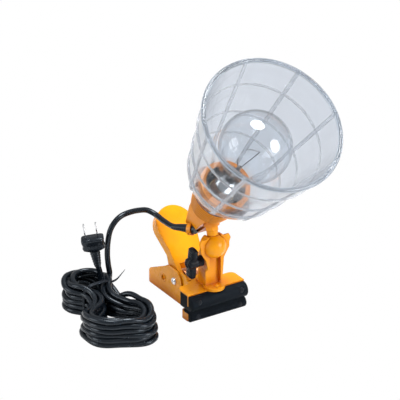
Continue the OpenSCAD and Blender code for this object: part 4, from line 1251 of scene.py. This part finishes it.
@dataclass
class Head(Assembly):
    """The lampholder: block, ball stem, socket, ribbed cover and cord sleeve. Lengths in millimetres."""

    join: Point = (0.0, -36.043, 119.469)
    tilt: float = 40.0
    ridges: int = 9
    ridge: float = 1.1
    top_r: float = 26.8
    low_r: float = 20.6

    def __post_init__(self) -> None:
        """Works out the head's frame and the ridges' pitch."""
        self.place = stand_at(*self.join, (self.tilt, "X"))
        self.pitch = (MOUTH - 18) / self.ridges

    def build(self, lead: np.ndarray) -> None:
        """Makes every piece of the head.

        Args:
            lead: the free cord's centreline, which the sleeve follows.
        """
        axis = tuple(self.place.to_3x3() @ Vector((0, 0, 1)))
        # painted shade: the block and the cover take darker copies of the enamel, and the cover's also paints
        # dark bands in the grooves between its ridges
        block = Enamel("block_orange_shaded", rgb(0.82, 0.285, 0.003), rgb(0.4, 0.065, 0.003), 0.3).build()
        cover = Enamel("cover_orange_shaded", rgb(0.8, 0.28, 0.003), rgb(0.3, 0.05, 0.003), 0.3, 0.5, 0.002,
                       (mm(*self.join), axis, self.pitch * MM)).build()
        self.copy("housing_base", Body.HEAD, Slot.PAINT, 0.0007, material=block)
        self.copy("ball_stem", Body.HEAD, Slot.PAINT, 0.0005)
        self.copy("stem_nut", Body.HEAD, Slot.PAINT, 0.0005, 2)
        self.copy("socket_body", Body.HEAD, Slot.BAKELITE, 0.0006)
        self._cover(cover)
        self._sleeve(lead)

    def _radius(self, h: float) -> float:
        """The cover's outside radius over its ridges."""
        rise = min(h / (MOUTH - 16), 1.0)
        return self.low_r + (self.top_r - self.low_r) * math.sin(math.radians(90 * rise))

    def _cover(self, material: bpy.types.Material) -> None:
        """The cover, with round-topped ridges up its side and a broken mouth edge."""
        outside = [(8.4, 0.0), (self.low_r - self.ridge - 0.3, 0.0), (self.low_r - self.ridge, 0.2)]
        for h in np.arange(0.3, self.ridges * self.pitch, self.pitch / 12):
            crest = abs(math.sin(math.pi * h / self.pitch)) ** 0.7
            outside.append((self._radius(h) - self.ridge * (1 - crest) - 0.02, h))
        top, bore, socket = self.top_r, 21.7, 17.2
        outside += [(r, MOUTH - down) for r, down in (
            (top - self.ridge, 18), (top - 0.3, 17.5), (top, 17.1), (top, 1.1), (top - 0.3, 0.4),
            (top - 0.9, 0), (22.3, 0), (21.8, 0.4), (bore, 1), (bore, 21.2), (socket, 21.2))]
        outside += [(socket, 2.5), (8.0, 2.5), (8.0, 0.3)]
        form = Form().add_lathe(outside, self.place, 96, closed=True)
        self.fit(form, "socket_cover_ribbed", Body.HEAD, Slot.PAINT, "socket_cover", sharp=50,
                 material=material)

    def _sleeve(self, lead: np.ndarray) -> None:
        """The cord's tapered, ribbed sleeve, from inside the block out along the cord."""
        inside, ribbed, end = -7.0, (2.0, 21.0), 0.0125
        straight = [(CORD_EXIT + CORD_WAY * s) * MM for s in np.arange(inside, 11.6, 0.6)]
        way = resampled(np.array(straight + list(lead[distances(lead) < end])), 0.0006)
        along = np.linspace(inside, inside + line_length(way) * 1000, len(way))
        radii = 4.95 - 1.75 * np.clip((along - 1.0) / 21.0, 0, 1)
        ribs = 0.22 * np.cos(2 * math.pi * along / 2.6) - 0.22
        radii += np.where((along > ribbed[0]) & (along < ribbed[1]), ribs, 0.0)
        form = Form().add_tube(way, radii * MM, 24)
        self.fit(form, "cord_sleeve", Body.HEAD, Slot.CORD, "cord_bush", sharp=50)


@dataclass
class Guard(Assembly):
    """The clear moulded cup: one wall, eight ribs, three rings and a beaded rim. Millimetres, head frame."""

    place: Matrix
    low_r: float = 47.4
    rim_r: float = 73.6
    height: float = 126.7
    wall: float = 2.2
    round_r: float = 17.0
    turn: float = 40.5

    def __post_init__(self) -> None:
        """Works out the cup's slope."""
        self.rim_h, self.round_h = MOUTH + self.height, MOUTH + 12
        self.slope = (self.rim_r - self.low_r) / (self.rim_h - self.round_h)

    def wall_r(self, h: float) -> float:
        """The outside radius at a height."""
        return self.low_r + self.slope * (h - self.round_h)

    def line(self, off: float) -> list[tuple[float, float]]:
        """The cup's line round its bottom edge and up its wall, set out by off."""
        tilt = math.atan(self.slope)
        bend = arc(self.low_r - self.round_r, self.round_h + self.round_r * math.sin(tilt),
                   self.round_r + off, -62, -math.degrees(tilt), 16)
        return bend + [(self.wall_r(h) + off, h) for h in np.linspace(self.round_h + 8, self.rim_h, 18)]

    def build(self) -> None:
        """Makes the cup and, in milkier mouldings, its ribs, its rings and its rim."""
        outer = [(29.55, 32.5), (29.55, 37.0), (29.6, 39.5)] + self.line(0)
        inner = [(self.rim_r - self.wall, self.rim_h)] + self.line(-self.wall)[::-1][1:]
        inner += [(27.3, 40.8), (26.95, 40.2), (26.95, 32.5)]
        self._part("guard_cup", Form().add_lathe(outer + inner, self.place, 128, closed=True), 48)
        # the ribs and the rim take painted dark reflections at grazing edges, strongest on the rim
        milk = Clear("guard_ribs", rgb(0.93, 0.94, 0.96), 1.33, 0.06, 0.1, 0.36, 0.6,
                     rgb(0.44, 0.45, 0.47)).build()
        rim = Clear("guard_rim", rgb(0.82, 0.86, 0.9), 1.42, 0.04, 0.1, 0.1, 1.0,
                    rgb(0.42, 0.46, 0.52)).build()
        form = self._ribs()
        ring_r, ring_arc = 1.48, math.degrees(1.75)
        for h in (MOUTH + 22, MOUTH + 51.5, MOUTH + 91.7):
            ring = arc(self.wall_r(h), h, ring_r, -ring_arc, ring_arc, 14)
            form.add_lathe(ring, self.place, 128, closed=True)
        self._part("guard_ribs_and_rings", form, 50, milk)
        bead = circle(self.rim_r - self.wall / 2, self.rim_h, 2.48, 20)
        self._part("guard_rim_bead", Form().add_lathe(bead, self.place, 128, closed=True), 60, rim)

    def _part(self, name: str, form: Form, sharp: float,
              material: Optional[bpy.types.Material] = None) -> None:
        """Makes one piece of the guard."""
        self.fit(form, name, Body.HEAD, Slot.GUARD, "guard", sharp=sharp, material=material)

    def _ribs(self, count: int = 8) -> Form:
        """Raised, round-edged ribs up the outside of the wall."""
        section = [(-2.2, -0.2), (-2.12, 0.5), (-1.6, 1.0), (-0.7, 1.2), (0.7, 1.2), (1.6, 1.0), (2.12, 0.5),
                   (2.2, -0.2)]
        way = np.array([(29.6, 34.0), (29.6, 39.5)] + self.line(0))
        slope = unit(np.gradient(way, axis=0))
        form = Form()
        for k in range(count):
            a = math.radians(self.turn + 360 / count * k)
            out, side = np.array((math.cos(a), math.sin(a))), np.array((-math.sin(a), math.cos(a)))
            form.add_drawn([[(*((r + o * dh) * out + w * side), h - o * dr) for w, o in section]
                            for (r, h), (dr, dh) in zip(way, slope)], self.place)
        return form


@dataclass
class Bulb(Assembly):
    """The lamp: blown globe, rolled screw cap, support wires and filament. Millimetres, head frame."""

    place: Matrix
    globe_r: float = 37.55
    globe_h: float = 131.8
    cap_r: float = 13.05
    cap_low: float = MOUTH - 24
    glass: float = 0.9

    def line(self, off: float) -> list[tuple[float, float]]:
        """The glass's line from the cap up to its top, set in by off."""
        top, turn, neck = MOUTH + 1, math.radians(42), self.cap_r + 0.2
        meet = (self.globe_r * math.cos(turn), self.globe_h - self.globe_r * math.sin(turn))
        points = [(self.cap_r + out - off, top + up) for out, up in ((-0.8, -2), (-0.8, 0), (0.1, 1))]
        points += [(neck + (meet[0] - neck) * s ** 1.45 - off, top + 1 + (meet[1] - top - 1) * s)
                   for s in np.linspace(0.07, 0.95, 18)]
        r = self.globe_r - off
        points += arc(0, self.globe_h, r, math.degrees(0.03 - turn), 90, 46)
        points[-1] = (0.0, self.globe_h + r)
        return points

    def build(self) -> None:
        """Makes every piece of the bulb."""
        form = Form().add_lathe(self.line(0) + self.line(self.glass)[::-1], self.place, 96, closed=True)
        self.fit(form, "bulb_globe", Body.HEAD, Slot.GLASS, "bulb_glass", sharp=60)
        cap = [(7.0, 0.0), (10.4, 0.0), (11.8, 1.0)] + [(12.55, 1.6 + 0.35 * k) for k in range(62)]
        cap += [(12.9, 24.0), (13.0, 24.6), (12.6, 25.0), (12.3, 25.0), (12.3, 22.0), (11.4, 22.0),
                (11.4, 1.5), (7.0, 1.0)]
        form = Form().add_lathe([(r, self.cap_low + h) for r, h in cap], self.place, 72, closed=True,
                                wave=self._thread)
        self.fit(form, "bulb_screw_cap", Body.HEAD, Slot.CAP, "bulb_cap", sharp=60)
        self._insides()

    def _thread(self, angle: float, radius: float, height: float) -> float:
        """The thread rolled into the outside of the cap."""
        rolled = radius > 12.4 and 1.4 < height - self.cap_low < 23.2
        return 0.4 * math.cos(2 * math.pi * height / 3 - angle) if rolled else 0.0

    def _insides(self) -> None:
        """The support wires and the coiled filament between them."""
        top = MOUTH + 35
        wires = Form()
        for side in (-1, 1):
            way = rounded([(side * 2.4, 0, top - 6), (side * 4, 0, top + 4), (side * 9, 0, top + 16),
                           (side * 13, 0, top + 28)], 8)
            wires.add_tube(apply(self.place, way * MM), 0.00048, 10)
        self.fit(wires, "bulb_support_wires", Body.HEAD, Slot.FINE_WIRE, "bulb_leads")
        t = np.linspace(-1, 1, 260)
        coil = np.stack([13 * t, 6 * np.cos(t * math.pi / 2) - 0.1 + 0.42 * np.cos(t * 170),
                         top + 27.6 + 0.42 * np.sin(t * 170)], axis=1)
        fine = Form().add_tube(apply(self.place, coil * MM), 0.00013, 6)
        self.fit(fine, "bulb_filament_coil", Body.HEAD, Slot.FINE_WIRE, "bulb_filament")


def main() -> None:
    """Builds the lamp: the studio and the cord first, then the clamp, the arm, the head and the bulb."""
    finishes = Finishes()
    finishes.paint_nodes()
    Studio().build()
    lead = MainsCord(finishes).build()
    Clamp(finishes).build()
    Arm(finishes).build()
    head = Head(finishes)
    head.build(lead)
    Guard(finishes, head.place).build()
    Bulb(finishes, head.place).build()


if __name__ == "__main__":
    main()
